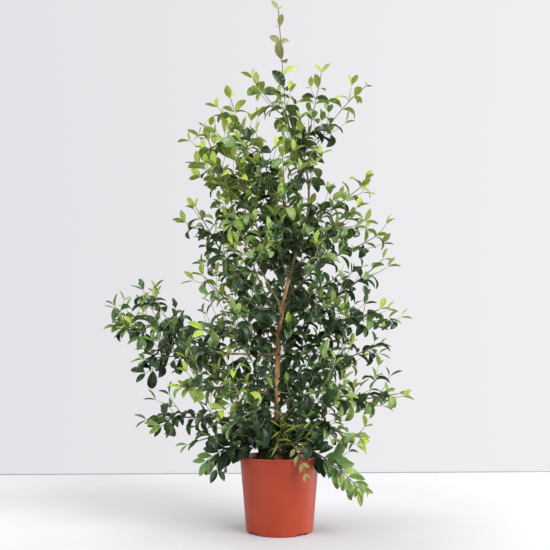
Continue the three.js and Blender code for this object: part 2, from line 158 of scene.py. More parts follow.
# Limbs: each is one line from the trunk to the tip of its leafy mass.
# foot is the height on the trunk, bearing turns from the right (0) through the back (90),
# reach and climb go out and up to the tip, bow lifts or drops the middle, bare is the share
# that is a bare bough, shoots and spread shape the mass, fullness is how thick its finer
# shoots stand, and youth is how fresh its leaves are.
LIMB_COLUMNS = "name foot bearing reach climb bow bare shoots spread fullness youth".split()
LIMB_ROWS = [
    ("leader", 1099, 188, 22, 341, 10, 0, 0, 60, 0, 6.0),
    ("leader_left", 1070, 190, 118, 149, -20, 0, 2, 70, 0.1, 0.66),
    ("fork_mid", 950, -12, 60, 290, 0, 0, 2, 56, 0, 0.8),
    ("fork_right", 940, 0, 194, 250, 60, 0.3, 1, 44, 0, 1.0),
    ("top_back", 880, 118, 135, 240, -30, 0, 2, 90, 0.25, 0.55),
    ("right_shoot", 770, -5, 176, 125, -10, 0, 3, 65, 0.2, 0.65),
    ("right_back_up", 690, 48, 210, 150, -30, 0, 3, 100, 0.35, 0.35),
    ("back_up", 700, 112, 220, 270, -40, 0, 3, 110, 0.4, 0.35),
    ("inner_up", 690, 203, 125, 360, -40, 0.3, 4, 100, 0.55, 0.46),
    ("left_inner", 620, 165, 178, 580, -60, 0.35, 4, 98, 0.45, 0.72),
    ("front_up", 640, 258, 110, 320, -20, 0, 3, 95, 0.8, 0.54),
    ("right_fill", 650, -28, 215, 170, -20, 0, 3, 95, 0.8, 0.42),
    ("left_top", 545, 185, 228, 540, -85, 0.3, 5, 98, 1.2, 1.04),
    ("right_high", 640, 10, 272, 130, -20, 0, 3, 110, 0.2, 0.52),
    ("front_left_high", 585, 208, 175, 420, -60, 0, 4, 115, 0.6, 0.52),
    ("front_right", 560, -58, 245, 130, -10, 0, 3, 85, 0.3, 0.34),
    ("back_mid_right", 535, 40, 255, 160, -30, 0, 3, 95, 0.2, 0.25),
    ("back_mid", 520, 80, 310, 230, -40, 0, 4, 120, 0.3, 0.25),
    ("front_left", 505, 243, 230, 225, -30, 0, 3, 110, 0.5, 0.5),
    ("right_upper", 490, -3, 300, 208, -40, 0.35, 3, 80, 0.2, 0.32),
    ("front_right_mid", 445, -42, 200, 115, 0, 0, 3, 95, 0.8, 0.32),
    ("back_mid_left", 480, 128, 290, 265, -40, 0, 4, 120, 0.45, 0.3),
    ("left_upper", 465, 186, 238, 378, -25, 0.3, 4, 85, 0.8, 0.44),
    ("left_shelf", 425, 200, 222, 215, 0, 0, 2, 95, 0.6, 0.85),
    ("right_mid_up", 415, -14, 292, 135, -10, 0.3, 3, 94, 1.2, 0.42),
    ("front_left_mid", 400, 224, 245, 95, 0, 0, 3, 95, 0.7, 0.42),
    ("left_far", 455, 173, 470, 50, 32, 0.4, 5, 98, 1.3, 0.7),
    ("right_mid", 345, 8, 306, 120, 0, 0.3, 3, 60, 0.5, 0.38),
    ("left_mid", 425, 188, 374, -18, 15, 0.3, 4, 98, 1.1, 0.16),
    ("back_right_low", 330, 44, 320, 95, 0, 0, 3, 115, 0.6, 0.25),
    ("front_left_near", 320, 212, 300, 25, 15, 0, 3, 110, 1.0, 0.72),
    ("back_low", 310, 88, 340, 85, 10, 0, 4, 115, 0.7, 0.25),
    ("back_left_low", 300, 138, 335, 185, 0, 0.3, 4, 120, 0.7, 0.25),
    ("front_right_low", 300, -54, 280, 45, 10, 0, 3, 105, 0.5, 0.38),
    ("front_left_low", 290, 245, 275, -50, 40, 0, 3, 105, 0.3, 0.12),
    ("right_low", 268, -4, 336, 62, 10, 0.25, 4, 76, 1.4, 0.58),
    ("left_low", 252, 186, 355, 8, 25, 0.25, 4, 66, 0.55, 0.12),
    ("right_skirt", 238, -32, 255, -20, 30, 0, 3, 90, 0.9, 0.48),
    ("back_right_skirt", 222, 55, 235, -30, 60, 0, 3, 95, 0.5, 0.25),
    ("back_left_skirt", 214, 125, 235, -15, 55, 0, 3, 95, 0.5, 0.25),
    ("right_droop", 206, -24, 236, -125, 68, 0, 2, 85, 0.25, 0.42),
    ("left_droop", 202, 194, 205, -58, 60, 0, 2, 85, 0.8, 0.1),
    ("front_droop", 198, -60, 153, -92, 106, 0, 1, 50, 0, 1.9),
    ("left_skirt", 230, 205, 262, -32, 35, 0, 3, 78, 0.25, 0.1),
]
LIMBS = [dict(zip(LIMB_COLUMNS, row)) for row in LIMB_ROWS]
MASSES = [limb["name"] + "_mass" for limb in LIMBS]
BOUGHS = [limb["name"] + "_bough" for limb in LIMBS if limb["bare"] > 0]

# Chance: how one number follows from the last, and the seed of each run
DRAW_SPREAD = 2654435761
DRAW_STEP = 1664525
DRAW_SHIFT = 1013904223
DRAW_RANGE = 2 ** 32
SEED = 18
LIMB_SEED_STEP = 17
FINE_SEED = SEED + 3000
FLAKE_SEED = SEED + 5000
INNER_SEED = SEED + 7000
FOOT_SEED = SEED + 8000
LEAF_SEED = SEED + 9000

# Twigs, in millimetres and degrees
BOUGH_SLENDERNESS = 130
BOUGH_TO_TRUNK = 0.5
BOUGH_SIDES = 12
BOUGH_RING_STEP = 4
BOUGH_FEWEST_RINGS = 6
BOUGH_COLLAR = 0.6
BOUGH_COLLAR_RINGS = 2.5
BOUGH_RELIEF = 0.4
STEM_END = 0.6
STEM_TIP_RADIUS = 1.1
SHOOT_RADIUS = 1.2
SHOOT_TIP_RADIUS = 0.7
TWIG_RADIUS = 0.9
TWIG_TIP_RADIUS = 0.6
TWIG_SIDES = {"leader": 8, "stem": 8, "shoot": 6, "fresh": 6, "twig": 5}
TWIG_RING_STEP = 14
TWIG_FEWEST_RINGS = 3
# Share of its length where each twig's leaves start
FIRST_PAIRS = {
    "leader": 0.12,
    "stem": 0.1,
    "shoot": 0.18,
    "twig": 0.3,
    "inner": 0.3,
    "bough": 0.25,
    "foot": 0.25,
}

# Side shoots that the solids have: their place on the stem, turn, lean and length
SHOOT_ANGLE = 46
SHOOT_MIDDLE = 0.55
SHOOT_LIFT = 0.3
SHOOT_TURN = 137.5
SOLID_SHOOT_SHARES = (0.1, 0.86)
SOLID_SHOOT_FIRST = 0.3
SOLID_SHOOT_SHIFT = 0.4
SOLID_SHOOT_ROLL = 40
SOLID_SHOOT_LEAN = 16
SOLID_SHOOT_TAPER = (1.1, 0.6)
SOLID_SHOOT_LENGTHS = (0.85, 1.1)

# Finer shoots between them, and the short twigs on long shoots
TIPWARD = 0.8
FINE_SHOOT_STEP = 50
FINE_SHOOT_SHARES = (0.06, 0.97)
FINE_SHOOT_ROLL = 50
FINE_SHOOT_ANGLE = 52
FINE_SHOOT_LEAN = 24
FINE_SHOOT_TAPER = (0.95, 0.5)
FINE_SHOOT_LENGTHS = (0.55, 1.0)
TWIG_STEP = 60
TWIG_SHARES = (0.15, 0.8)
TWIG_ANGLE = 48
TWIG_LEAN = 20
TWIG_LENGTHS = (30, 52)
SHORTEST_SHOOT_WITH_TWIGS = 60

# Short twigs on the trunk and on the bare boughs
INNER_TWIGS_LOW = 182
INNER_TWIGS_HIGH = 860
INNER_TWIG_STEP = 22
INNER_TWIG_ROLL = 40
INNER_TWIG_RISE = (12, 45)
INNER_TWIG_LIFT = 0.5
INNER_TWIG_TAPER = (95, 60)
INNER_TWIG_LENGTHS = (0.7, 1.1)
INNER_YOUTH = (0, 0.35)
INNER_UPPER_YOUTH = 0.5
STEEP_TWIGS_HIGH = 1110
STEEP_TWIG_STEP = 19
STEEP_TWIG_RISE = 32
BOUGH_TWIG_DENSITY = 1.5
BARE_BOUGH_TWIG_DENSITY = 0.3
BOUGH_TWIG_SHIFT = (0.3, 1)
BOUGH_TWIG_ANGLE = 55
BOUGH_TWIG_LEAN = 20
BOUGH_TWIG_LENGTHS = (40, 75)

# Twigs round the trunk's foot; a fresh shoot has its height, bearing, rise and length
FOOT_TWIGS = 36
FOOT_TWIGS_LOW = 168
FOOT_TWIGS_HIGH = 250
FOOT_TWIG_ARCH = 8
FOOT_TWIG_RISE = (8, 24)
FOOT_TWIG_LEAN = 14
FOOT_TWIG_ROLL = 40
FOOT_TWIG_LENGTHS = (70, 115)
FOOT_YOUTH = (0, 0.2)
FRESH_FOOT_SHOOTS = [
    (176, -82, 46, 108),
    (182, -64, 58, 112),
    (178, -50, 24, 112),
    (184, -30, 50, 92),
]
FRESH_FOOT_YOUTH = 1.0
FRESH_FOOT_SLIM = 0.22
FRESH_FOOT_LEAF = 1.25
FRESH_FOOT_SPACING = 0.5

# What stays open: the pot's inside, and what shows bare from the front, in millimetres
POT_CLEAR_ABOVE = 3
POT_CLEAR_ROUND = 5
POT_TEST_SHARES = (0.5, 0.75, 1)
BARE_TRUNK_LOW = 285
BARE_TRUNK_HIGH = 740
BARE_LIMBS = ("left_top", "left_mid")
BARE_LIMB_SHARE = 0.3
BARE_STEP = 12
BARE_CLEARANCE = 15
FRESH_FOOT_SHOWN = (0.3, 0.5, 0.7, 0.9)
OPEN_MOUTH_SIDES = (-92, 8)
OPEN_MOUTH_HEIGHTS = (160, 186)

# Leaf blades, in millimetres and degrees
LEAF_LENGTH = 53
LEAF_WIDTH = 26.5
LEAF_THICKNESS = 0.5
LEAF_STALK = 0.08
LEAF_STALK_WIDTH = 0.07
LEAF_STATIONS = (LEAF_STALK, 0.18, 0.34, 0.52, 0.7, 0.86, 0.95)
LEAF_FULLNESS = 0.78
LEAF_CREASE = 60
LEAF_SIZES = (0.78, 1.08)
LEAF_BENDS = (0.6, 1.25)
LEAF_TWIST = 30
SHADE_FOLD = 33
LIGHT_FOLD = 18
OLD_ARCH = 112
YOUNG_ARCH = 18
SHADE_LEAF = 0.93
LIGHT_LEAF = 1.1
SHADE_SLIM = 0.95
TIP_LEAF = 0.66
TIP_LEAF_POWER = 4
NEWEST_LEAF = 0.52

# Leaf pairs on their twigs, in millimetres and degrees
SHADE_HEIGHT = 250
LIGHT_HEIGHT = 1000
SHADE_PAIR_SPACING = 26
LIGHT_PAIR_SPACING = 39
PAIR_WANDER = 44
LEAF_ROLL_WANDER = 30
OLD_LEAF_ANGLE = 54
YOUNG_LEAF_ANGLE = 30
LEAF_ANGLE_WANDER = 18
LEAF_RISE = 0.1
LEVEL_TWIST = 0.3
SHADE_FACE_UP = 1.8
LIGHT_FACE_UP = 0.4
FACE_WANDER = 0.5
LIGHT_SIDE = (0.35, -0.75, 0.55)
LEADER_PAIR_SPACING = 40
LEADER_STRETCH = 1.3
LEADER_TURN = 60
LEADER_LEAF = 1.0
LEADER_TIP_LEAF = 0.85
LEADER_TIP_LEAF_POWER = 8
LEADER_TIP_RADIUS = 1.7
LEADER_FOOT_YOUTH = 0.2
LEADER_AGEING = 1.5
LEADER_LEAF_ANGLE = 1.1
LEADER_ARCH = 0.6
LEADER_FACE = (-0.1, -0.9, 0.35)
WEEPING_FALL = -0.25
WEEPING_TEST_SHARE = 0.7
WEEPING_SPACING = 0.6
WEEPING_LEAF = 1.22
WEEPING_ARCH = 0.5
WEEPING_FACE = (0.05, -0.9, 0.35)

# Leaf ages: a leaf is as fresh as its twig, its place on it and chance make it
AGES = ("old", "mid", "young", "lime", "bronze")
AGE_LIMITS = (0.4, 0.64, 0.88, 1.45)
AGE_TO_TIP = 0.4
AGE_MIDDLE = 0.4
AGE_WANDER = 0.16
TIP_YOUTH = 0.45
TIP_YOUTH_MIDDLE = 0.6
UPPER_YOUTH = 0.12
BRIGHT_SHOOTS = 0.1
BRIGHT_YOUTH = 0.45
DULL_SHOOTS = 0.2
DULL_YOUTH = -0.5
FRESHEST_SHOOT = 1.02
YOUTH_SPREAD = 0.34
TWIG_YOUTH_SPREAD = 0.2

# Leaf tones: darker patch, lighter patch and midrib of each age; the old tones are also painted shade,
# made near black to stand for the shade inside and low in the crown
LEAF_TONES = {
    "old": ("#0c1c0b", "#203717", "#354d25"),
    "mid": ("#466130", "#617e41", "#779052"),
    "young": ("#647a3a", "#7f934a", "#8fa05a"),
    "lime": ("#7c9330", "#91a63f", "#a0b056"),
    "bronze": ("#6c6b3a", "#807e4a", "#928f60"),
}
UNDERSIDE_TONES = {
    "old": ("#3a5330", "#506b3e", "#688052"),
    "mid": ("#5a7338", "#708a46", "#859a5a"),
    "young": ("#7a8f42", "#8fa24e", "#a2b264"),
    "lime": ("#86953c", "#98a44a", "#a6b161"),
    "bronze": ("#74733f", "#878550", "#989566"),
}
LEAF_ROUGHNESS = {"old": 0.4, "mid": 0.43, "young": 0.5, "lime": 0.54, "bronze": 0.58}
UNDERSIDE_ROUGHNESS = 0.6
LEAF_PATCH = 45
RIB_MIDDLE = 0.5
RIB_HALF_WIDTH = 0.03
VEIN_SLANT = -0.5
VEIN_SCALE = 2.4
VEIN_HEIGHT = 0.4
VEIN_STRENGTH = 0.12

# Patches and grain of all the materials; bark is drawn out four times along the trunk
PATCH_BORDER = (0.35, 0.65)
GRAIN_DETAIL = 4
BARK_STREAK = (1, 1, 0.25)

# Camera and floor, in millimetres; the lens was fitted to the pot's rim and foot
IMAGE_SIDE = 550
FOCAL_PIXELS = 600
SENSOR_WIDTH = 36
CAMERA_PITCH = 11.1
CAMERA_PLACE = (-11.2, -1555, 328.6)
FLOOR_BACK = 1040
FLOOR_SKEW = 62
FLOOR_FRONT = -1300
FLOOR_HALF_WIDTH = 1500
FLOOR_CREASE = 30
# Width of the grey strip at the floor's back edge, painted shade for the shadow line at the foot of the
# wall
SHADOW_LINE_WIDTH = 32

# Studio light: walls, and each softbox's name, place, aim and width in metres, and watts
# Walls seen behind the plant, darker on the left and lighter on the right: painted shade and light on
# the backdrop
WALL_LEFT = "#e3e2e6"
WALL_RIGHT = "#f0eff1"
WALL_SPAN = 0.4
ROOM_LIGHT = "#f2f4f8"
ROOM_LIGHT_STRENGTH = 0.6
SOFTBOXES = [
    ("key_softbox", (6.6, -6.1, 7.0), (0, 0, 0.7), 7.0, 2080),
    ("fill_softbox", (-3.2, -2.2, 1.8), (0, 0, 0.4), 2.8, 130),
    ("side_softbox", (2.4, 0.8, 0.55), (0, 0, 0.25), 1.0, 64),
    ("top_softbox", (-1.8, 1.0, 4.9), (-0.2, 0, 0.4), 4.4, 250),
]


# Numbers and lines

def mix(low, high, share):
    return low + (high - low) * share


class Draws:
    """A run of numbers from 0 to 1 that is the same each time for the same seed."""

    def __init__(self, seed):
        self.state = (seed + 1) * DRAW_SPREAD % DRAW_RANGE

    def next(self):
        self.state = (self.state * DRAW_STEP + DRAW_SHIFT) % DRAW_RANGE
        return self.state / DRAW_RANGE

    def between(self, low, high):
        return mix(low, high, self.next())

    def around(self, spread):
        return spread * (self.next() - 0.5)


def on_line(line, share):
    root, middle, tip = line
    return root * (1 - share) ** 2 + middle * (2 * share * (1 - share)) + tip * share ** 2


def along_line(line, share):
    root, middle, tip = line
    return ((middle - root) * (1 - share) + (tip - middle) * share).normalized()


def line_length(line):
    stops = [on_line(line, i / LINE_STEPS) for i in range(LINE_STEPS + 1)]
    return sum((b - a).length for a, b in zip(stops, stops[1:]))


def stretch(line, start, end):
    """The part of a line between two shares of it, as a line of its own."""
    root, middle, tip = line
    bend = root * ((1 - start) * (1 - end))
    bend += middle * (start * (1 - end) + end * (1 - start))
    bend += tip * (start * end)
    return on_line(line, start), bend, on_line(line, end)


def square_to(along, roll):
    """The direction square to a line, turned by roll about it."""
    side = along.cross(UP)
    if side.length < NEARLY_UPRIGHT:
        side = Vector((1, 0, 0))
    side.normalize()
    return (side * math.cos(roll) + side.cross(along) * math.sin(roll)).normalized()


def aimed(along, across, angle):
    return (along * math.cos(angle) + across * math.sin(angle)).normalized()


# Meshes

class Draft:
    """Points, faces, finishes and blade places of a mesh being drawn."""

    def __init__(self):
        self.points = []
        self.faces = []
        self.finishes = []
        self.places = []

    def add(self, points, faces, finishes=None, places=None):
        """Adds points and the faces on them; finishes has one number for each face."""
        first = len(self.points)
        self.points.extend(points)
        self.faces.extend(tuple(first + corner for corner in face) for face in faces)
        self.finishes.extend(finishes or [0] * len(faces))
        self.places.extend(places or [(0, 0)] * len(points))

    def mesh(self, name, finishes, crease):
        mesh = bpy.data.meshes.new(name)
        mesh.from_pydata([point * MM for point in self.points], [], self.faces)
        for finish in finishes:
            mesh.materials.append(finish)
        mesh.polygons.foreach_set("material_index", self.finishes)
        layer = mesh.uv_layers.new(name="blade")
        corners = [self.places[loop.vertex_index] for loop in mesh.loops]
        layer.uv.foreach_set("vector", [value for corner in corners for value in corner])
        mesh.shade_smooth()
        mesh.set_sharp_from_angle(angle=math.radians(crease))
        mesh.validate()
        return mesh


def place_piece(name, mesh, nodes):
    """Makes a mesh a piece of the plant that stands for the named nodes."""
    piece = bpy.data.objects.new(name, mesh)
    bpy.context.scene.collection.objects.link(piece)
    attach(piece, "root")
    if nodes:
        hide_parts(*nodes)


def tube(draft, stops, radii, sides, finishes=None):
    """A closed round limb through the stops. A radius may be a function of the angle round it.

    finishes, where given, is the finish of each stretch between two stops.
    """
    points = []
    normal = None
    for i, stop in enumerate(stops):
        ahead = stops[min(i + 1, len(stops) - 1)] - stops[max(i - 1, 0)]
        ahead.normalize()
        if normal is None:
            normal = square_to(ahead, 0)
        normal = (normal - ahead * normal.dot(ahead)).normalized()
        over = ahead.cross(normal)
        for j in range(sides):
            angle = 2 * math.pi * j / sides
            radius = radii[i](angle) if callable(radii[i]) else radii[i]
            points.append(stop + (normal * math.cos(angle) + over * math.sin(angle)) * radius)
    faces = [tuple(reversed(range(sides)))]
    for i in range(len(stops) - 1):
        for j in range(sides):
            k = (j + 1) % sides
            faces.append((i * sides + j, i * sides + k, (i + 1) * sides + k, (i + 1) * sides + j))
    faces.append(tuple(range((len(stops) - 1) * sides, len(stops) * sides)))
    finishes = finishes or [0] * (len(stops) - 1)
    stretches = [finish for finish in finishes for _ in range(sides)]
    draft.add(points, faces, [finishes[0]] + stretches + [finishes[-1]])


def lathed(draft, profile, segments):
    """A closed turned shape from (radius, height) pairs that start and end on the axis."""
    start = Vector((0, 0, profile[0][1]))
    end = Vector((0, 0, profile[-1][1]))
    rings = profile[1:-1]
    points = [start]
    for radius, height in rings:
        for j in range(segments):
            angle = 2 * math.pi * j / segments
            points.append(Vector((radius * math.cos(angle), radius * math.sin(angle), height)))
    points.append(end)
    faces = []
    for j in range(segments):
        k = (j + 1) % segments
        faces.append((0, 1 + k, 1 + j))
        for i in range(len(rings) - 1):
            low = 1 + i * segments
            high = low + segments
            faces.append((low + j, low + k, high + k, high + j))
        last = 1 + (len(rings) - 1) * segments
        faces.append((last + j, last + k, len(points) - 1))
    draft.add(points, faces)


# Materials

def linear(hex_colour):
    """An sRGB hex colour as linear red, green, blue and alpha."""
    channels = [int(hex_colour[i:i + 2], 16) / 255 for i in (1, 3, 5)]
    return [c / 12.92 if c <= 0.04045 else ((c + 0.055) / 1.055) ** 2.4 for c in channels] + [1]


def add_node(tree, kind, values=None, links=None, **settings):
    """Adds a node, sets its properties and input values, and links outputs to its inputs."""
    node = tree.nodes.new(kind)
    for name, value in settings.items():
        setattr(node, name, value)
    for name, value in (values or {}).items():
        node.inputs[name].default_value = value
    for name, output in (links or {}).items():
        tree.links.new(output, node.inputs[name])
    return node


def per_metre(size_mm):
    """Texture scale that makes one repeat about size_mm wide."""
    return 1 / (size_mm * MM)


def new_material(name, values):
    """A material of one surface with the given values, its node tree and the surface."""
    material = bpy.data.materials.new(name)
    material.use_nodes = True
    tree = material.node_tree
    tree.nodes.clear()
    surface = add_node(tree, "ShaderNodeBsdfPrincipled", values)
    add_node(tree, "ShaderNodeOutputMaterial", links={"Surface": surface.outputs["BSDF"]})
    return material, tree, surface


def two_tone(tree, place, size_mm, low, high, detail=3):
    """Two colours in soft patches of the given size."""
    patches = add_node(
        tree, "ShaderNodeTexNoise", {"Scale": per_metre(size_mm), "Detail": detail}, {"Vector": place}
    )
    ramp = add_node(tree, "ShaderNodeValToRGB", links={"Fac": patches.outputs["Fac"]})
    for element, position, tone in zip(ramp.color_ramp.elements, PATCH_BORDER, (low, high)):
        element.position = position
        element.color = linear(tone)
    return ramp.outputs["Color"]


def grain_bump(tree, place, size_mm, height_mm, strength):
    """Bump from fine noise of a real grain size."""
    values = {"Scale": per_metre(size_mm), "Detail": GRAIN_DETAIL}
    grain = add_node(tree, "ShaderNodeTexNoise", values, {"Vector": place})
    values = {"Strength": strength, "Distance": height_mm * MM}
    bump = add_node(tree, "ShaderNodeBump", values, {"Height": grain.outputs["Fac"]})
    return bump.outputs["Normal"]


def finish_surface(tree, surface, colour, normal):
    tree.links.new(colour, surface.inputs["Base Color"])
    tree.links.new(normal, surface.inputs["Normal"])


def moulded_polypropylene():
    """Injection-moulded terracotta polypropylene: even colour, satin shine, faint mould grain.

    The grain is finer than half a millimetre and is drawn 1.6 mm wide, so that it shows.
    """
    values = {"Roughness": 0.42, "IOR": 1.49, "Specular IOR Level": 0.3}
    material, tree, surface = new_material("moulded_polypropylene", values)
    place = add_node(tree, "ShaderNodeTexCoord").outputs["Object"]
    colour = two_tone(tree, place, size_mm=60, low="#872e17", high="#8f331b")
    grain = grain_bump(tree, place, size_mm=1.6, height_mm=0.05, strength=0.25)
    finish_surface(tree, surface, colour, grain)
    return material


def peat_compost():
    """Moist peat compost: nearly black-brown crumbs with no shine."""
    material, tree, surface = new_material("peat_compost", {"Roughness": 0.95})
    place = add_node(tree, "ShaderNodeTexCoord").outputs["Object"]
    colour = two_tone(tree, place, size_mm=4, low="#231912", high="#4a3626", detail=6)
    crumbs = grain_bump(tree, place, size_mm=2.5, height_mm=1.2, strength=0.8)
    finish_surface(tree, surface, colour, crumbs)
    return material


def composted_bark():
    """Flakes of composted conifer bark on the compost: matt, red-brown, split along the grain."""
    material, tree, surface = new_material("composted_bark", {"Roughness": 0.9})
    place = add_node(tree, "ShaderNodeTexCoord").outputs["Object"]
    colour = two_tone(tree, place, size_mm=6, low="#3c2a1d", high="#6d4c33", detail=5)
    splits = grain_bump(tree, place, size_mm=1.5, height_mm=0.6, strength=0.7)
    finish_surface(tree, surface, colour, splits)
    return material


def young_bark(name, low, high, fleck_mm, ridge_mm):
    """Thin young bark: matt, streaked lengthways with paler flecks, and finely ridged."""
    material, tree, surface = new_material(name, {"Roughness": 0.8})
    place = add_node(tree, "ShaderNodeTexCoord").outputs["Object"]
    streaks = add_node(
        tree, "ShaderNodeMapping", {"Scale": BARK_STREAK}, {"Vector": place}
    ).outputs["Vector"]
    colour = two_tone(tree, streaks, fleck_mm, low, high, detail=5)
    ridges = grain_bump(tree, streaks, ridge_mm, height_mm=0.5, strength=0.6)
    finish_surface(tree, surface, colour, ridges)
    return material


def leaf_blade(name, low, high, rib, roughness):
    """A living blade: waxy sheen, patches of tone, a paler midrib and shallow side veins.

    The side veins are a millimetre or two apart and are drawn about 7 mm apart, so that they show.
    """
    values = {"Roughness": roughness, "IOR": 1.45, "Specular IOR Level": 0.34}
    material, tree, surface = new_material(name, values)
    place = add_node(tree, "ShaderNodeTexCoord").outputs["Object"]
    blade = add_node(tree, "ShaderNodeUVMap", uv_map="blade").outputs["UV"]
    on_blade = add_node(tree, "ShaderNodeSeparateXYZ", links={"Vector": blade})
    off_rib = add_node(
        tree, "ShaderNodeMath", {1: RIB_MIDDLE}, {0: on_blade.outputs["X"]}, operation="SUBTRACT"
    ).outputs["Value"]
    rib_share = add_node(
        tree, "ShaderNodeMath", {1: 0.0, 2: RIB_HALF_WIDTH}, {0: off_rib}, operation="COMPARE"
    ).outputs["Value"]
    tone = two_tone(tree, place, LEAF_PATCH, low, high, detail=2)
    colour = add_node(
        tree, "ShaderNodeMix", {"B": linear(rib)}, {"Factor": rib_share, "A": tone}, data_type="RGBA"
    ).outputs["Result"]
    aside = add_node(tree, "ShaderNodeMath", None, {0: off_rib}, operation="ABSOLUTE").outputs["Value"]
    slant = add_node(
        tree, "ShaderNodeMath", {1: VEIN_SLANT}, {0: aside, 2: on_blade.outputs["Y"]},
        operation="MULTIPLY_ADD"
    ).outputs["Value"]
    vein_place = add_node(tree, "ShaderNodeCombineXYZ", links={"Y": slant}).outputs["Vector"]
    veins = add_node(
        tree, "ShaderNodeTexWave", {"Scale": VEIN_SCALE}, {"Vector": vein_place}, bands_direction="Y"
    )
    values = {"Strength": VEIN_STRENGTH, "Distance": VEIN_HEIGHT * MM}
    relief = add_node(tree, "ShaderNodeBump", values, {"Height": veins.outputs["Fac"]})
    finish_surface(tree, surface, colour, relief.outputs["Normal"])
    return material


# Pot

def pot_radius_at(height):
    return mix(POT_BASE_RADIUS, POT_TOP_RADIUS, height / POT_HEIGHT)


def rounded(centre, radius, start, end, steps):
    """Points on an arc, in degrees, as (radius, height) pairs."""
    turns = [math.radians(mix(start, end, i / steps)) for i in range(steps + 1)]
    return [(centre[0] + radius * math.cos(t), centre[1] + radius * math.sin(t)) for t in turns]


def pot_profile():
    """The pot's outline from the middle of its underside, over the lip, to the middle of its floor."""
    lip_foot = POT_HEIGHT - LIP_HEIGHT
    lip_middle = POT_TOP_RADIUS + LIP_PROUD - LIP_THICKNESS / 2
    lip_round = LIP_THICKNESS / 2
    foot_middle = (POT_BASE_RADIUS - FOOT_ROUNDING, FOOT_ROUNDING)
    outside = (FOOT_RING, *POT_WALL_RINGS, lip_foot - LIP_STEP)
    inside = (lip_foot, *reversed(POT_WALL_RINGS), POT_FLOOR + INNER_CORNER)
    profile = [(0, 0)]
    profile += rounded(foot_middle, FOOT_ROUNDING, -90, 0, FOOT_ROUND_STEPS)
    profile += [(pot_radius_at(h), h) for h in outside]
    profile += [(POT_TOP_RADIUS + LIP_PROUD * LIP_UNDERSIDE, lip_foot + LIP_STEP)]
    profile += rounded((lip_middle, POT_HEIGHT - lip_round), lip_round, 0, 180, LIP_ROUND_STEPS)
    profile += [(pot_radius_at(h) - POT_WALL, h) for h in inside]
    profile += [(pot_radius_at(POT_FLOOR) - POT_WALL - INNER_CORNER, POT_FLOOR), (0, POT_FLOOR)]
    return profile


def make_pot(finish):
    draft = Draft()
    lathed(draft, pot_profile(), POT_SEGMENTS)
    pot = bpy.data.objects.new("pot_blank", draft.mesh("pot_blank", [finish], POT_CREASE))
    bpy.context.scene.collection.objects.link(pot)
    slot_size = (DRAIN_DEPTH * 2 * MM, DRAIN_WIDTH * MM, DRAIN_HEIGHT * 2 * MM, 1)
    cutters = []
    for i in range(DRAIN_SLOTS):
        bpy.ops.mesh.primitive_cube_add(size=1)
        cutter = bpy.context.object
        cutter.data.transform(Matrix.Diagonal(slot_size))
        cutter.data.transform(Matrix.Translation((POT_BASE_RADIUS * MM, 0, 0)))
        turn = math.radians(DRAIN_FIRST_BEARING + i * 360 / DRAIN_SLOTS)
        cutter.data.transform(Matrix.Rotation(turn, 4, "Z"))
        cut = pot.modifiers.new("drain", "BOOLEAN")
        cut.operation = "DIFFERENCE"
        cut.solver = "EXACT"
        cut.object = cutter
        cutters.append(cutter)
    evaluated = pot.evaluated_get(bpy.context.evaluated_depsgraph_get())
    mesh = bpy.data.meshes.new_from_object(evaluated)
    for scrap in cutters + [pot]:
        bpy.data.objects.remove(scrap)
    mesh.name = "nursery_pot"
    mesh.set_sharp_from_angle(angle=math.radians(POT_CREASE))
    place_piece("nursery_pot", mesh, ["pot"])


# Compost

def soil_height_at(x, y):
    """Height of the compost: domed, and lumpy."""
    share = math.hypot(x, y) / POT_TOP_RADIUS
    lumps = noise.noise(Vector((x, y, SOIL_LUMP_LAYER)) / SOIL_LUMP)
    lumps += noise.noise(Vector((x, y, SOIL_COARSE_LAYER)) / SOIL_COARSE_LUMP)
    return POT_HEIGHT - SOIL_BELOW_RIM + SOIL_DOME * (1 - share * share) + SOIL_LUMP_HEIGHT * lumps


def soil_radius():
    """How far the compost reaches to the pot's wall at its top."""
    return pot_radius_at(POT_HEIGHT - SOIL_BELOW_RIM) - POT_WALL


def make_compost(finish):
    draft = Draft()
    rings = SOIL_RINGS
    segments = SOIL_SEGMENTS
    outer = soil_radius()
    points = [Vector((0, 0, soil_height_at(0, 0)))]
    for i in range(1, rings + 1):
        for j in range(segments):
            angle = 2 * math.pi * j / segments
            x = outer * i / rings * math.cos(angle)
            y = outer * i / rings * math.sin(angle)
            points.append(Vector((x, y, soil_height_at(x, y))))
    low = len(points)
    floor = POT_FLOOR + SOIL_ABOVE_FLOOR
    foot = pot_radius_at(floor) - POT_WALL - INNER_CORNER
    for j in range(segments):
        angle = 2 * math.pi * j / segments
        points.append(Vector((foot * math.cos(angle), foot * math.sin(angle), floor)))
    faces = []
    for j in range(segments):
        k = (j + 1) % segments
        faces.append((0, 1 + j, 1 + k))
        for i in range(rings - 1):
            inner = 1 + i * segments
            faces.append((inner + j, inner + segments + j, inner + segments + k, inner + k))
        rim = 1 + (rings - 1) * segments
        faces.append((rim + j, low + j, low + k, rim + k))
    faces.append(tuple(reversed(range(low, low + segments))))
    draft.add(points, faces)
    place_piece("compost", draft.mesh("compost", [finish], SOIL_CREASE), ["soil"])


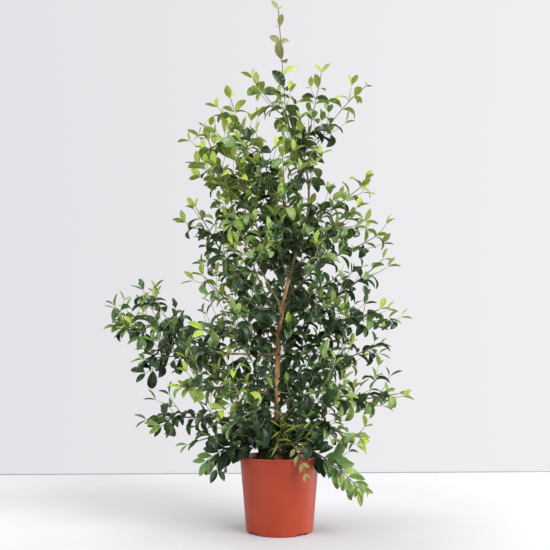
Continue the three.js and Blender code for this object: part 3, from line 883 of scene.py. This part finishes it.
def make_flakes(finish):
    """Irregular flat flakes lying on the compost round the trunk."""
    draft = Draft()
    draws = Draws(FLAKE_SEED)
    outer = soil_radius() - FLAKE_EDGE_GAP
    count = len(FLAKE_CORNERS)
    for _ in range(FLAKE_COUNT):
        distance = outer * math.sqrt(draws.between(*FLAKE_SPREAD))
        bearing = draws.between(0, 2 * math.pi)
        x = distance * math.cos(bearing)
        y = distance * math.sin(bearing)
        centre = Vector((x, y, soil_height_at(x, y) + FLAKE_LIFT))
        spin = Matrix.Rotation(draws.between(*ANY_TURN), 3, "Z")
        turn = spin @ Matrix.Rotation(draws.around(FLAKE_TILT), 3, "X")
        long_half = draws.between(*FLAKE_HALF_LENGTH)
        wide_half = draws.between(*FLAKE_HALF_WIDTH)
        thick_half = draws.between(*FLAKE_HALF_THICKNESS)
        points = []
        for level in (-1, 1):
            for along, across in FLAKE_CORNERS:
                wobble = 1 + draws.around(FLAKE_WOBBLE)
                points.append(centre + turn @ Vector((
                    along * long_half * wobble, across * wide_half * wobble, level * thick_half
                )))
        faces = [tuple(reversed(range(count))), tuple(range(count, 2 * count))]
        faces += [(j, (j + 1) % count, count + (j + 1) % count, count + j) for j in range(count)]
        draft.add(points, faces)
    place_piece("bark_flakes", draft.mesh("bark_flakes", [finish], FLAKE_CREASE), [])


# Trunk

def on_trunk(share):
    """A smooth curve through the trunk's points."""
    points = [Vector((side, depth, height)) for height, side, depth in TRUNK_LINE]
    spot = share * (len(points) - 1)
    i = min(int(spot), len(points) - 2)
    t = spot - i
    a = points[i]
    b = points[i + 1]
    before = points[i - 1] if i > 0 else a * 2 - b
    after = points[i + 2] if i + 2 < len(points) else b * 2 - a
    leave = (b - before) * 0.5
    arrive = (after - a) * 0.5
    curve = a + leave * t
    curve += (b * 3 - a * 3 - leave * 2 - arrive) * t ** 2
    curve += (a * 2 - b * 2 + leave + arrive) * t ** 3
    return curve


def trunk_share_at(height):
    """The share of the trunk's line that is at a height, found by halving."""
    low = 0.0
    high = 1.0
    for _ in range(HALVINGS):
        middle = (low + high) / 2
        if on_trunk(middle).z < height:
            low = middle
        else:
            high = middle
    return (low + high) / 2


def trunk_at(height):
    return on_trunk(trunk_share_at(height))


def trunk_radius_at(height):
    """Half the trunk's thickness at a height, by straight tapers between its girths."""
    for (low, low_radius), (high, high_radius) in zip(TRUNK_GIRTH, TRUNK_GIRTH[1:]):
        if height <= high:
            return mix(low_radius, high_radius, (height - low) / (high - low))
    return TRUNK_GIRTH[-1][1]


def bark_relief(height, angle, radius):
    """Height of the bark at a place: ridges along the limb and rings of old leaf scars."""
    round_limb = Vector((math.cos(angle), math.sin(angle), 0)) * radius / BARK_RIDGE_WIDTH
    ridge = noise.noise(round_limb + UP * (height / BARK_RIDGE_LENGTH))
    fine = noise.noise(round_limb * FINE_RIDGES + UP * (height / FINE_RIDGE_LENGTH))
    wander = LEAF_SCAR_WANDER * noise.noise(UP * (height / LEAF_SCAR_WANDER_LENGTH))
    scar_place = (height + wander) / LEAF_SCAR_STEP
    scar = math.exp(-((scar_place - round(scar_place)) * LEAF_SCAR_STEP / LEAF_SCAR_WIDTH) ** 2)
    return BARK_RIDGE * (ridge + FINE_RIDGE_SHARE * fine) + LEAF_SCAR_HEIGHT * scar


def trunk_ring(height):
    """Radius round the trunk at a height, with root flare, bark and a collar at each limb's foot."""
    base = trunk_radius_at(max(height, TRUNK_LINE[0][0]))
    flare = ROOT_FLARE * math.exp(-max(height - TRUNK_LINE[0][0], 0) / ROOT_FLARE_HEIGHT)
    relief_share = min(1, base / FULL_RELIEF_RADIUS)
    collars = []
    for limb in LIMBS:
        strength = COLLAR_HEIGHT * math.exp(-((height - limb["foot"]) / COLLAR_LENGTH) ** 2)
        if strength > COLLAR_FAINTEST:
            collars.append((math.radians(limb["bearing"]), strength))

    def radius_at(angle):
        swell = sum(s * max(0, math.cos(angle - bearing)) ** 2 for bearing, s in collars)
        ribs = flare * (1 - ROOT_RIB_DEPTH + ROOT_RIB_DEPTH * math.cos(angle * ROOT_RIBS))
        relief = bark_relief(height, angle, base) * relief_share
        return base + ribs + min(swell, base * COLLAR_LIMIT) + relief

    return radius_at


def trunk_finish(height):
    """Tan bark low down, olive in the middle and green at the top, with a ragged border."""
    ragged = height + BARK_BORDER_WANDER * noise.noise(UP * (height / BARK_BORDER_LENGTH))
    return sum(ragged > border for border in GREEN_BARK_HEIGHTS)


def make_trunk(finishes):
    draft = Draft()
    length = TRUNK_LINE[-1][0] - TRUNK_LINE[0][0]
    steps = int(length / TRUNK_RING_STEP)
    stops = [on_trunk(i / steps) for i in range(steps + 1)]
    stops.insert(0, stops[0] - UP * TRUNK_BURIED)
    rings = [trunk_ring(stop.z) for stop in stops]
    tube(draft, stops, rings, TRUNK_SIDES, [trunk_finish(stop.z) for stop in stops[1:]])
    place_piece("trunk_bark", draft.mesh("trunk_bark", finishes, BARK_CREASE), ["trunk"])


def make_stubs(finish):
    """Short dark stubs where side twigs were cut from the trunk."""
    draft = Draft()
    for height, bearing, length in PRUNED_STUBS:
        root = trunk_at(height)
        turn = math.radians(bearing)
        out = Vector((math.cos(turn), math.sin(turn), STUB_RISE))
        reach = trunk_radius_at(height) + length
        stops = [root + out * (reach * share) for share, _ in STUB_SHAPE]
        tube(draft, stops, [radius for _, radius in STUB_SHAPE], STUB_SIDES)
    place_piece("pruned_stubs", draft.mesh("pruned_stubs", [finish], STUB_CREASE), [])


# Limbs and twigs

def limb_line(limb):
    root = trunk_at(limb["foot"])
    bearing = math.radians(limb["bearing"])
    out = Vector((math.cos(bearing), math.sin(bearing), 0)) * limb["reach"]
    tip = root + out + UP * limb["climb"]
    return root, root.lerp(tip, 0.5) + UP * limb["bow"], tip


class Twig:
    """A leafy twig: its line, thickness, where its leaves start and how fresh they are."""

    def __init__(self, line, thick, thin, first_pair, youth, kind):
        self.line = line
        self.thick = thick
        self.thin = thin
        self.first_pair = first_pair
        self.youth = youth
        self.kind = kind
        self.length = line_length(line)


def rising_line(root, heading, length, rise):
    """A line that sets off along its heading and turns up towards the light."""
    return root, root + heading * (length * SHOOT_MIDDLE), root + heading * length + UP * rise


def shoot_line(stem, share, roll, angle, length):
    """A side shoot that leaves its stem at an angle."""
    along = along_line(stem, share)
    heading = aimed(along, square_to(along, roll), angle)
    return rising_line(on_line(stem, share), heading, length, length * SHOOT_LIFT)


def solid_shoots(limb, stem, draws):
    """The side shoots that the solids have, by the same draws."""
    for i in range(limb["shoots"]):
        place = i + SOLID_SHOOT_FIRST + SOLID_SHOOT_SHIFT * draws.next()
        share = mix(*SOLID_SHOOT_SHARES, place / limb["shoots"])
        roll = math.radians(i * SHOOT_TURN + limb["bearing"] + SOLID_SHOOT_ROLL * draws.next())
        angle = math.radians(SHOOT_ANGLE + draws.around(SOLID_SHOOT_LEAN))
        length = limb["spread"] * mix(*SOLID_SHOOT_TAPER, share) * draws.between(*SOLID_SHOOT_LENGTHS)
        yield shoot_line(stem, share, roll, angle, length)


def fine_shoots(limb, stem, draws):
    """Shorter shoots between them, all along the stem and closer towards its tip."""
    count = round(line_length(stem) / FINE_SHOOT_STEP * limb["fullness"])
    for i in range(count):
        share = mix(*FINE_SHOOT_SHARES, ((i + draws.next()) / count) ** TIPWARD)
        roll = math.radians(i * SHOOT_TURN + draws.around(FINE_SHOOT_ROLL))
        angle = math.radians(FINE_SHOOT_ANGLE + draws.around(FINE_SHOOT_LEAN))
        length = limb["spread"] * mix(*FINE_SHOOT_TAPER, share) * draws.between(*FINE_SHOOT_LENGTHS)
        yield shoot_line(stem, share, roll, angle, length)


def side_twigs(shoot, fullness, draws):
    """Short twigs on a long shoot, each turned round it from the last."""
    if shoot.length < SHORTEST_SHOOT_WITH_TWIGS:
        return
    count = round(shoot.length / TWIG_STEP * fullness)
    start = draws.between(0, 360)
    for i in range(count):
        share = mix(*TWIG_SHARES, (i + draws.next()) / count)
        roll = math.radians(start + i * SHOOT_TURN)
        angle = math.radians(TWIG_ANGLE + draws.around(TWIG_LEAN))
        yield shoot_line(shoot.line, share, roll, angle, draws.between(*TWIG_LENGTHS))


def trunk_twigs(draws):
    """Short leafy twigs on the trunk, steeper in its upper part."""
    heights = list(range(INNER_TWIGS_LOW, INNER_TWIGS_HIGH, INNER_TWIG_STEP))
    heights += range(INNER_TWIGS_HIGH, STEEP_TWIGS_HIGH, STEEP_TWIG_STEP)
    for i, height in enumerate(heights):
        upward = i / len(heights)
        turn = math.radians(i * SHOOT_TURN + draws.around(INNER_TWIG_ROLL))
        steep = STEEP_TWIG_RISE if height >= INNER_TWIGS_HIGH else 0
        rise = math.radians(draws.between(*INNER_TWIG_RISE) + steep)
        level = math.cos(rise)
        heading = Vector((math.cos(turn) * level, math.sin(turn) * level, math.sin(rise)))
        length = mix(*INNER_TWIG_TAPER, upward) * draws.between(*INNER_TWIG_LENGTHS)
        path = rising_line(trunk_at(height), heading, length, length * SHOOT_LIFT * INNER_TWIG_LIFT)
        youth = draws.between(*INNER_YOUTH) + INNER_UPPER_YOUTH * upward
        yield Twig(path, SHOOT_RADIUS, SHOOT_TIP_RADIUS, FIRST_PAIRS["inner"], youth, "shoot")


def bough_twigs(draws):
    """Short leafy twigs on the bare boughs, fewer on those that show bare from the front."""
    for limb in LIMBS:
        bough = limb_line(limb)
        density = BARE_BOUGH_TWIG_DENSITY if limb["name"] in BARE_LIMBS else BOUGH_TWIG_DENSITY
        count = round(line_length(bough) * limb["bare"] / INNER_TWIG_STEP * density)
        for i in range(count):
            share = limb["bare"] * (i + draws.between(*BOUGH_TWIG_SHIFT)) / count
            angle = math.radians(BOUGH_TWIG_ANGLE + draws.around(BOUGH_TWIG_LEAN))
            roll = draws.between(*ANY_TURN)
            path = shoot_line(bough, share, roll, angle, draws.between(*BOUGH_TWIG_LENGTHS))
            youth = draws.between(*INNER_YOUTH)
            yield Twig(path, TWIG_RADIUS, TWIG_TIP_RADIUS, FIRST_PAIRS["bough"], youth, "twig")


def inner_twigs():
    """The twigs that fill the crown's inside."""
    draws = Draws(INNER_SEED)
    return list(trunk_twigs(draws)) + list(bough_twigs(draws))


def foot_line(height, turn, rise, length):
    """A short line from the trunk's foot, arching a little upwards."""
    root = trunk_at(height)
    bearing = math.radians(turn)
    level = Vector((math.cos(bearing), math.sin(bearing), 0))
    heading = aimed(level, UP, math.radians(rise))
    return root, root + heading * (length * SHOOT_MIDDLE) + UP * FOOT_TWIG_ARCH, root + heading * length


def fresh_foot_lines():
    return [foot_line(*row) for row in FRESH_FOOT_SHOOTS]


def foot_twig(line, youth, kind):
    return Twig(line, SHOOT_RADIUS, SHOOT_TIP_RADIUS, FIRST_PAIRS["foot"], youth, kind)


def foot_twigs():
    """Leafy twigs round the trunk's foot that hide the compost, with a few fresh shoots in front."""
    draws = Draws(FOOT_SEED)
    twigs = []
    for i in range(FOOT_TWIGS):
        share = i / FOOT_TWIGS
        rise = mix(*FOOT_TWIG_RISE, share) + draws.around(FOOT_TWIG_LEAN)
        turn = i * SHOOT_TURN + draws.around(FOOT_TWIG_ROLL)
        length = draws.between(*FOOT_TWIG_LENGTHS)
        height = mix(FOOT_TWIGS_LOW, FOOT_TWIGS_HIGH, share)
        line = foot_line(height, turn, rise, length)
        twigs.append(foot_twig(line, draws.between(*FOOT_YOUTH), "shoot"))
    return twigs + [foot_twig(line, FRESH_FOOT_YOUTH, "fresh") for line in fresh_foot_lines()]


def shoot_youth(limb, outward, fine):
    """How fresh a shoot's leaves are: fresher outwards, and by chance bright, dull or between."""
    luck = fine.next()
    youth = limb["youth"] + TIP_YOUTH * (outward - TIP_YOUTH_MIDDLE)
    if luck < BRIGHT_SHOOTS:
        youth += BRIGHT_YOUTH
    elif luck > 1 - DULL_SHOOTS:
        youth += DULL_YOUTH
    else:
        youth += fine.around(YOUTH_SPREAD)
    return min(youth, FRESHEST_SHOOT)


def grow_limb(limb, index):
    """All the leafy twigs of one limb, from its stem to its finest twigs."""
    line = limb_line(limb)
    length = line_length(line)
    slender = STEM_TIP_RADIUS + length / BOUGH_SLENDERNESS
    limb["line"] = line
    limb["thick"] = min(trunk_radius_at(limb["foot"]) * BOUGH_TO_TRUNK, slender)
    stem_line = stretch(line, limb["bare"], 1 - STEM_END * LEAF_LENGTH / length)
    stem_thick = mix(limb["thick"], STEM_TIP_RADIUS, limb["bare"])
    kind = "stem" if limb["shoots"] else "leader"
    stem_thin = STEM_TIP_RADIUS if limb["shoots"] else LEADER_TIP_RADIUS
    twigs = [Twig(stem_line, stem_thick, stem_thin, FIRST_PAIRS[kind], limb["youth"], kind)]
    draws = Draws(SEED + index * LIMB_SEED_STEP)
    fine = Draws(FINE_SEED + index * LIMB_SEED_STEP)
    lines = list(solid_shoots(limb, stem_line, draws)) + list(fine_shoots(limb, stem_line, fine))
    for path in lines:
        outward = (path[0] - stem_line[0]).length / (stem_line[2] - stem_line[0]).length
        youth = shoot_youth(limb, outward, fine)
        shoot = Twig(path, SHOOT_RADIUS, SHOOT_TIP_RADIUS, FIRST_PAIRS["shoot"], youth, "shoot")
        twigs.append(shoot)
        for side_path in side_twigs(shoot, limb["fullness"], fine):
            side_youth = youth + fine.around(TWIG_YOUTH_SPREAD)
            twigs.append(
                Twig(side_path, TWIG_RADIUS, TWIG_TIP_RADIUS, FIRST_PAIRS["twig"], side_youth, "twig")
            )
    return twigs


# Where leaves and twigs may not be

def in_pot(point):
    if point.z >= POT_HEIGHT + POT_CLEAR_ABOVE:
        return False
    room = pot_radius_at(min(point.z, POT_HEIGHT)) + POT_CLEAR_ROUND
    return math.hypot(point.x, point.y) < room


def clear_of_pot(line):
    return not any(in_pot(on_line(line, share)) for share in POT_TEST_SHARES)


def seen_against_trunk(point):
    """Where a point is seen from the front, carried along the sight line to the trunk's depth."""
    viewer = Vector(CAMERA_PLACE)
    return viewer + (point - viewer) * (viewer.y / (viewer.y - point.y))


def bare_stops():
    """Points down the limbs whose fronts stay open, so that they show between the leaves."""
    stops = [trunk_at(height) for height in range(BARE_TRUNK_LOW, BARE_TRUNK_HIGH, BARE_STEP)]
    for line in fresh_foot_lines():
        stops += [on_line(line, share) for share in FRESH_FOOT_SHOWN]
    for limb in LIMBS:
        if limb["name"] in BARE_LIMBS:
            line = limb_line(limb)
            count = round(line_length(line) * BARE_LIMB_SHARE / BARE_STEP)
            stops += [on_line(line, BARE_LIMB_SHARE * i / count) for i in range(count + 1)]
    return [(seen_against_trunk(stop), stop.y) for stop in stops]


def hides_bare_limb(point, stops):
    seen = seen_against_trunk(point)
    for stop, depth in stops:
        if point.y < depth and math.hypot(seen.x - stop.x, seen.z - stop.z) < BARE_CLEARANCE:
            return True
    return False


def hides_pot_mouth(point):
    """Whether a point hides the left of the pot's mouth, which stays open to the front."""
    seen = seen_against_trunk(point)
    left, right = OPEN_MOUTH_SIDES
    low, high = OPEN_MOUTH_HEIGHTS
    return left < seen.x < right and low < seen.z < high


# Leaves

def blade_half_width(share):
    """Half the blade's width at a share of its length, as a share of its widest half."""
    if share <= LEAF_STALK:
        return LEAF_STALK_WIDTH
    blade_share = (share - LEAF_STALK) / (1 - LEAF_STALK)
    return math.sin(math.pi * blade_share) ** LEAF_FULLNESS


def add_leaf(draft, root, heading, face, size, slim, fold, arch, twist):
    """A closed thin blade, folded along its rib and arched to its tip; its underside is finish 1."""
    normal = (face - heading * face.dot(heading)).normalized()
    across = normal.cross(heading)
    length = LEAF_LENGTH * size
    bend = length / arch
    half = LEAF_WIDTH * size * slim / 2

    def rib(share):
        turn = arch * share
        return root + heading * (bend * math.sin(turn)) - normal * (bend * (1 - math.cos(turn)))

    # The root and the tip come first, then four points a station: two edges, rib and underside
    points = [root, rib(1)]
    places = [(0.5, 0), (0.5, 1)]
    for share in LEAF_STATIONS:
        turn = arch * share
        up = normal * math.cos(turn) + heading * math.sin(turn)
        roll = twist * share
        raised = up * math.cos(roll) - across * math.sin(roll)
        aside = across * math.cos(roll) + up * math.sin(roll)
        wide = half * blade_half_width(share)
        middle = rib(share)
        aside *= wide * math.cos(fold)
        lift = raised * (wide * math.sin(fold))
        points += [middle + aside + lift, middle - aside + lift, middle]
        points += [middle - raised * LEAF_THICKNESS]
        places += [(1, share), (0, share), (0.5, share), (0.5, share)]
    last = 2 + 4 * (len(LEAF_STATIONS) - 1)
    upper = [(0, 4, 2), (0, 3, 4), (last + 2, 1, last), (last + 1, 1, last + 2)]
    lower = [(0, 2, 5), (0, 5, 3), (last, 1, last + 3), (last + 3, 1, last + 1)]
    for a in range(2, last, 4):
        b = a + 4
        upper += [(a + 2, b + 2, b, a), (a + 1, b + 1, b + 2, a + 2)]
        lower += [(a, b, b + 3, a + 3), (a + 3, b + 3, b + 1, a + 1)]
    draft.add(points, upper + lower, [0] * len(upper) + [1] * len(lower), places)


def age_of(value):
    for age, limit in zip(AGES, AGE_LIMITS):
        if value < limit:
            return age
    return AGES[-1]


def light_at(height):
    """How far a height is from the shade low in the crown, 0, to the light at its top, 1."""
    return min(1, max(0, (height - SHADE_HEIGHT) / (LIGHT_HEIGHT - SHADE_HEIGHT)))


def weeping_face(twig):
    """Where the leaves of a falling twig look: a stem's to the front, others' to the light."""
    if along_line(twig.line, WEEPING_TEST_SHARE).z >= WEEPING_FALL:
        return None
    return Vector(WEEPING_FACE if twig.kind == "stem" else LIGHT_SIDE)


def pair_spacing(twig, light, weeping):
    spacing = mix(SHADE_PAIR_SPACING, LIGHT_PAIR_SPACING, light)
    if twig.kind == "leader":
        spacing = LEADER_PAIR_SPACING
    if weeping:
        spacing *= WEEPING_SPACING
    if twig.kind == "fresh":
        spacing *= FRESH_FOOT_SPACING
    return spacing


def pair_youth(twig, light, tipness):
    """How fresh a pair of leaves is on its twig, before chance."""
    if twig.kind == "leader":
        return mix(LEADER_FOOT_YOUTH, twig.youth, tipness ** LEADER_AGEING)
    youth = twig.youth + UPPER_YOUTH * light
    if twig.kind == "stem":
        youth += TIP_YOUTH * (tipness - TIP_YOUTH_MIDDLE)
    return youth


def leaf_side(along, roll):
    """The side that a leaf leaves its twig on: stalks twist to lie level, but not on a weeping twig."""
    side = square_to(along, roll)
    if along.z > WEEPING_FALL:
        side.z *= 1 - LEVEL_TWIST * (1 - abs(along.z))
    return (side - along * side.dot(along)).normalized()


def leaf_face(twig, along, light, weeping):
    """Where a leaf's upper side looks, before chance turns it."""
    if twig.kind == "leader":
        return Vector(LEADER_FACE)
    if twig.kind == "fresh":
        return Vector(LIGHT_SIDE)
    if weeping:
        return weeping.copy()
    return along + UP * mix(SHADE_FACE_UP, LIGHT_FACE_UP, light)


def has_room(twig, spots, stops):
    """Whether a leaf clears the pot and, but for the fresh shoots, the limbs that show bare."""
    if any(in_pot(spot) for spot in spots):
        return False
    return twig.kind == "fresh" or not any(hides_bare_limb(spot, stops) for spot in spots)


def dress_twig(twig, drafts, draws, stops):
    """Opposite pairs of leaves, each pair turned a quarter from the last, smaller to the tip."""
    light = light_at(on_line(twig.line, 0.5).z)
    weeping = weeping_face(twig)
    spacing = pair_spacing(twig, light, weeping)
    pairs = max(2, round(twig.length * (1 - twig.first_pair) / spacing))
    start = draws.around(PAIR_WANDER)
    for pair in range(pairs):
        tipness = pair / (pairs - 1)
        fresh = tipness ** 2
        spread = tipness ** LEADER_STRETCH if twig.kind == "leader" else tipness
        share = mix(twig.first_pair, 1, spread)
        root = on_line(twig.line, share)
        along = along_line(twig.line, share)
        youth = pair_youth(twig, light, tipness)
        age = age_of(youth + AGE_TO_TIP * (fresh - AGE_MIDDLE) + draws.around(AGE_WANDER))
        lean = math.radians(draws.around(LEADER_TURN))
        for side in range(2):
            roll = math.radians(start + pair * 90 + side * 180 + draws.around(LEAF_ROLL_WANDER))
            angle = mix(OLD_LEAF_ANGLE, YOUNG_LEAF_ANGLE, fresh) + draws.around(LEAF_ANGLE_WANDER)
            angle = math.radians(angle)
            size = mix(1.0, TIP_LEAF, tipness ** TIP_LEAF_POWER) * draws.between(*LEAF_SIZES)
            size *= mix(SHADE_LEAF, LIGHT_LEAF, light)
            arch = math.radians(mix(OLD_ARCH, YOUNG_ARCH, fresh) * draws.between(*LEAF_BENDS))
            across = leaf_side(along, roll)
            if twig.kind == "leader":
                bearing = math.radians(pair * 90 + side * 180) + lean
                across = Vector((math.cos(bearing), math.sin(bearing), 0))
                size *= LEADER_LEAF * mix(1, LEADER_TIP_LEAF, tipness ** LEADER_TIP_LEAF_POWER)
                angle *= LEADER_LEAF_ANGLE
                arch *= LEADER_ARCH
            if twig.kind == "fresh":
                size *= FRESH_FOOT_LEAF
            if weeping:
                across = along.cross(weeping).normalized() * (1 - 2 * side)
                size *= WEEPING_LEAF
                if twig.kind == "stem":
                    arch *= WEEPING_ARCH
            if age == "bronze" and twig.kind != "leader":
                size *= NEWEST_LEAF
            heading = aimed(along, across, angle)
            heading.z += LEAF_RISE * (1 - fresh)
            heading.normalize()
            face = leaf_face(twig, along, light, weeping)
            face += Vector((draws.around(FACE_WANDER), draws.around(FACE_WANDER), 0))
            tip = root + heading * (LEAF_LENGTH * size)
            spots = (root.lerp(tip, 0.5), tip)
            if not has_room(twig, spots, stops):
                continue
            twist = math.radians(draws.around(LEAF_TWIST * 2))
            slim = FRESH_FOOT_SLIM if twig.kind == "fresh" else mix(SHADE_SLIM, 1, light)
            fold = math.radians(mix(SHADE_FOLD, LIGHT_FOLD, light) * draws.between(*LEAF_BENDS))
            if not any(hides_pot_mouth(spot) for spot in spots):
                add_leaf(drafts[age], root, heading, face, size, slim, fold, arch, twist)


# Crown

def grow_crown():
    """Every twig of every limb, left out where it would pass through the pot."""
    twigs = []
    for index, limb in enumerate(LIMBS):
        grown = grow_limb(limb, index)
        twigs += [grown[0]] + [twig for twig in grown[1:] if clear_of_pot(twig.line)]
    return twigs + [twig for twig in inner_twigs() + foot_twigs() if clear_of_pot(twig.line)]


def make_boughs(finish):
    """The bare inner part of each limb, rooted inside the trunk."""
    draft = Draft()
    for limb in LIMBS:
        if limb["bare"] == 0:
            continue
        length = limb["bare"] * line_length(limb["line"])
        steps = max(BOUGH_FEWEST_RINGS, round(length / BOUGH_RING_STEP))
        stops = [on_line(limb["line"], limb["bare"] * i / steps) for i in range(steps + 1)]
        rings = []
        for i in range(steps + 1):
            radius = mix(limb["thick"], STEM_TIP_RADIUS, limb["bare"] * i / steps)
            swell = COLLAR_HEIGHT * BOUGH_COLLAR * math.exp(-i / BOUGH_COLLAR_RINGS)
            place = i * BOUGH_RING_STEP + limb["foot"]

            def ring(angle, radius=radius, swell=swell, place=place):
                return radius + swell + BOUGH_RELIEF * bark_relief(place, angle, radius)

            rings.append(ring)
        tube(draft, stops, rings, BOUGH_SIDES)
    place_piece("bough_bark", draft.mesh("bough_bark", [finish], BARK_CREASE), BOUGHS)


def make_twigs(twigs, stem_finish, shoot_finish):
    stems = Draft()
    shoots = Draft()
    for twig in twigs:
        steps = max(TWIG_FEWEST_RINGS, round(twig.length / TWIG_RING_STEP))
        stops = [on_line(twig.line, i / steps) for i in range(steps + 1)]
        radii = [mix(twig.thick, twig.thin, i / steps) for i in range(steps + 1)]
        draft = stems if twig.kind in ("leader", "stem") else shoots
        tube(draft, stops, radii, TWIG_SIDES[twig.kind])
    stem_mesh = stems.mesh("leafy_stems", [stem_finish], BARK_CREASE)
    shoot_mesh = shoots.mesh("green_shoots", [shoot_finish], BARK_CREASE)
    place_piece("leafy_stems", stem_mesh, [])
    place_piece("green_shoots", shoot_mesh, [])


def make_leaves(twigs):
    """The leaves of each age as one piece; the oldest stand for the foliage masses."""
    drafts = {age: Draft() for age in AGES}
    draws = Draws(LEAF_SEED)
    stops = bare_stops()
    for twig in twigs:
        dress_twig(twig, drafts, draws, stops)
    for age in AGES:
        # The old leaves' upper tones are partly painted shade for the dark inside and low part of the
        # crown
        upper = leaf_blade("waxy_leaf_" + age, *LEAF_TONES[age], LEAF_ROUGHNESS[age])
        lower = leaf_blade("matt_underside_" + age, *UNDERSIDE_TONES[age], UNDERSIDE_ROUGHNESS)
        mesh = drafts[age].mesh("leaves_" + age, [upper, lower], LEAF_CREASE)
        place_piece("leaves_" + age, mesh, MASSES if age == "old" else [])


# Floor, light and camera

def make_floor():
    """Pale painted studio board, matt, faintly uneven, with a grey strip along its back edge that is
    painted shade: the shadow line where the floor meets the wall.
    """
    board, tree, surface = new_material("painted_board", {"Roughness": 0.6})
    place = add_node(tree, "ShaderNodeTexCoord").outputs["Object"]
    colour = two_tone(tree, place, size_mm=400, low="#a8a7a9", high="#acabad")
    tree.links.new(colour, surface.inputs["Base Color"])
    # The grey strip is painted shade: a dark band standing for the shadow line at the foot of the wall
    shadow_line = new_material("painted_shadow_line", {"Roughness": 0.8, "Base Color": linear("#6c6c6e")})[0]
    rows = [(FLOOR_FRONT, 0), (FLOOR_BACK, FLOOR_SKEW), (FLOOR_BACK + SHADOW_LINE_WIDTH, FLOOR_SKEW)]
    points = []
    for depth, skew in rows:
        points += [Vector((side * FLOOR_HALF_WIDTH, depth + side * skew, 0)) for side in (-1, 1)]
    draft = Draft()
    draft.add(points[:4], [(0, 1, 3, 2)], [0])
    draft.add(points[2:], [(0, 1, 3, 2)], [1])
    mesh = draft.mesh("studio_floor", [board, shadow_line], FLOOR_CREASE)
    floor = bpy.data.objects.new("studio_floor", mesh)
    bpy.context.scene.collection.objects.link(floor)


def make_room_light():
    """Pale studio walls: seen as pale grey, darker to the left and lighter to the right as painted
    shade and light, and lighting the plant gently from all round.
    """
    world = bpy.data.worlds.new("studio_walls")
    bpy.context.scene.world = world
    world.use_nodes = True
    tree = world.node_tree
    tree.nodes.clear()
    direction = add_node(tree, "ShaderNodeTexCoord").outputs["Generated"]
    sideways = add_node(tree, "ShaderNodeSeparateXYZ", links={"Vector": direction}).outputs["X"]
    # Painted shade across the walls: darker to the left, lighter to the right
    shade = add_node(
        tree, "ShaderNodeMapRange", {"From Min": -WALL_SPAN, "From Max": WALL_SPAN}, {"Value": sideways}
    )
    wall = add_node(
        tree, "ShaderNodeMix", {"A": linear(WALL_LEFT), "B": linear(WALL_RIGHT)},
        {"Factor": shade.outputs["Result"]}, data_type="RGBA"
    )
    seen = add_node(tree, "ShaderNodeBackground", {"Strength": 1.0}, {"Color": wall.outputs["Result"]})
    light = add_node(
        tree, "ShaderNodeBackground", {"Color": linear(ROOM_LIGHT), "Strength": ROOM_LIGHT_STRENGTH}
    )
    path = add_node(tree, "ShaderNodeLightPath")
    walls = add_node(
        tree, "ShaderNodeMixShader", None,
        {"Fac": path.outputs["Is Camera Ray"], 1: light.outputs[0], 2: seen.outputs[0]}
    )
    add_node(tree, "ShaderNodeOutputWorld", links={"Surface": walls.outputs[0]})


def add_softbox(name, place, target, width, watts):
    lamp = bpy.data.lights.new(name, "AREA")
    lamp.shape = "SQUARE"
    lamp.size = width
    lamp.energy = watts
    softbox = bpy.data.objects.new(name, lamp)
    softbox.location = place
    softbox.rotation_euler = (Vector(target) - Vector(place)).to_track_quat("-Z", "Y").to_euler()
    bpy.context.scene.collection.objects.link(softbox)


def make_camera():
    camera = bpy.data.cameras.new("view")
    camera.sensor_width = SENSOR_WIDTH
    camera.lens = SENSOR_WIDTH * FOCAL_PIXELS / IMAGE_SIDE
    stand = bpy.data.objects.new("view", camera)
    stand.location = Vector(CAMERA_PLACE) * MM
    stand.rotation_euler = (math.radians(90 + CAMERA_PITCH), 0, 0)
    bpy.context.scene.collection.objects.link(stand)
    bpy.context.scene.camera = stand


# Making
# The bark is tan on the old trunk, olive and grey-green on younger wood, and dark on cut twigs

trunk_bark = young_bark("young_trunk_bark", "#9a7046", "#cfa674", fleck_mm=5, ridge_mm=1.4)
olive_bark = young_bark("olive_trunk_bark", "#5d503b", "#80704f", fleck_mm=5, ridge_mm=1.3)
bough_bark = young_bark("young_bough_bark", "#7a7048", "#a49a68", fleck_mm=4, ridge_mm=1.2)
stem_bark = young_bark("green_stem_bark", "#504936", "#6c644b", fleck_mm=5, ridge_mm=1.2)
shoot_bark = young_bark("green_shoot_skin", "#6e7146", "#8b8e58", fleck_mm=6, ridge_mm=1.5)
stub_wood = young_bark("cut_twig_wood", "#2c1a13", "#4a3024", fleck_mm=3, ridge_mm=1)

make_pot(moulded_polypropylene())
make_compost(peat_compost())
make_flakes(composted_bark())
make_trunk([trunk_bark, olive_bark, stem_bark])
make_stubs(stub_wood)
crown = grow_crown()
make_boughs(bough_bark)
make_twigs(crown, stem_bark, shoot_bark)
make_leaves(crown)
make_floor()
make_room_light()
for softbox_row in SOFTBOXES:
    add_softbox(*softbox_row)
make_camera()
bpy.context.scene.view_settings.view_transform = "Standard"
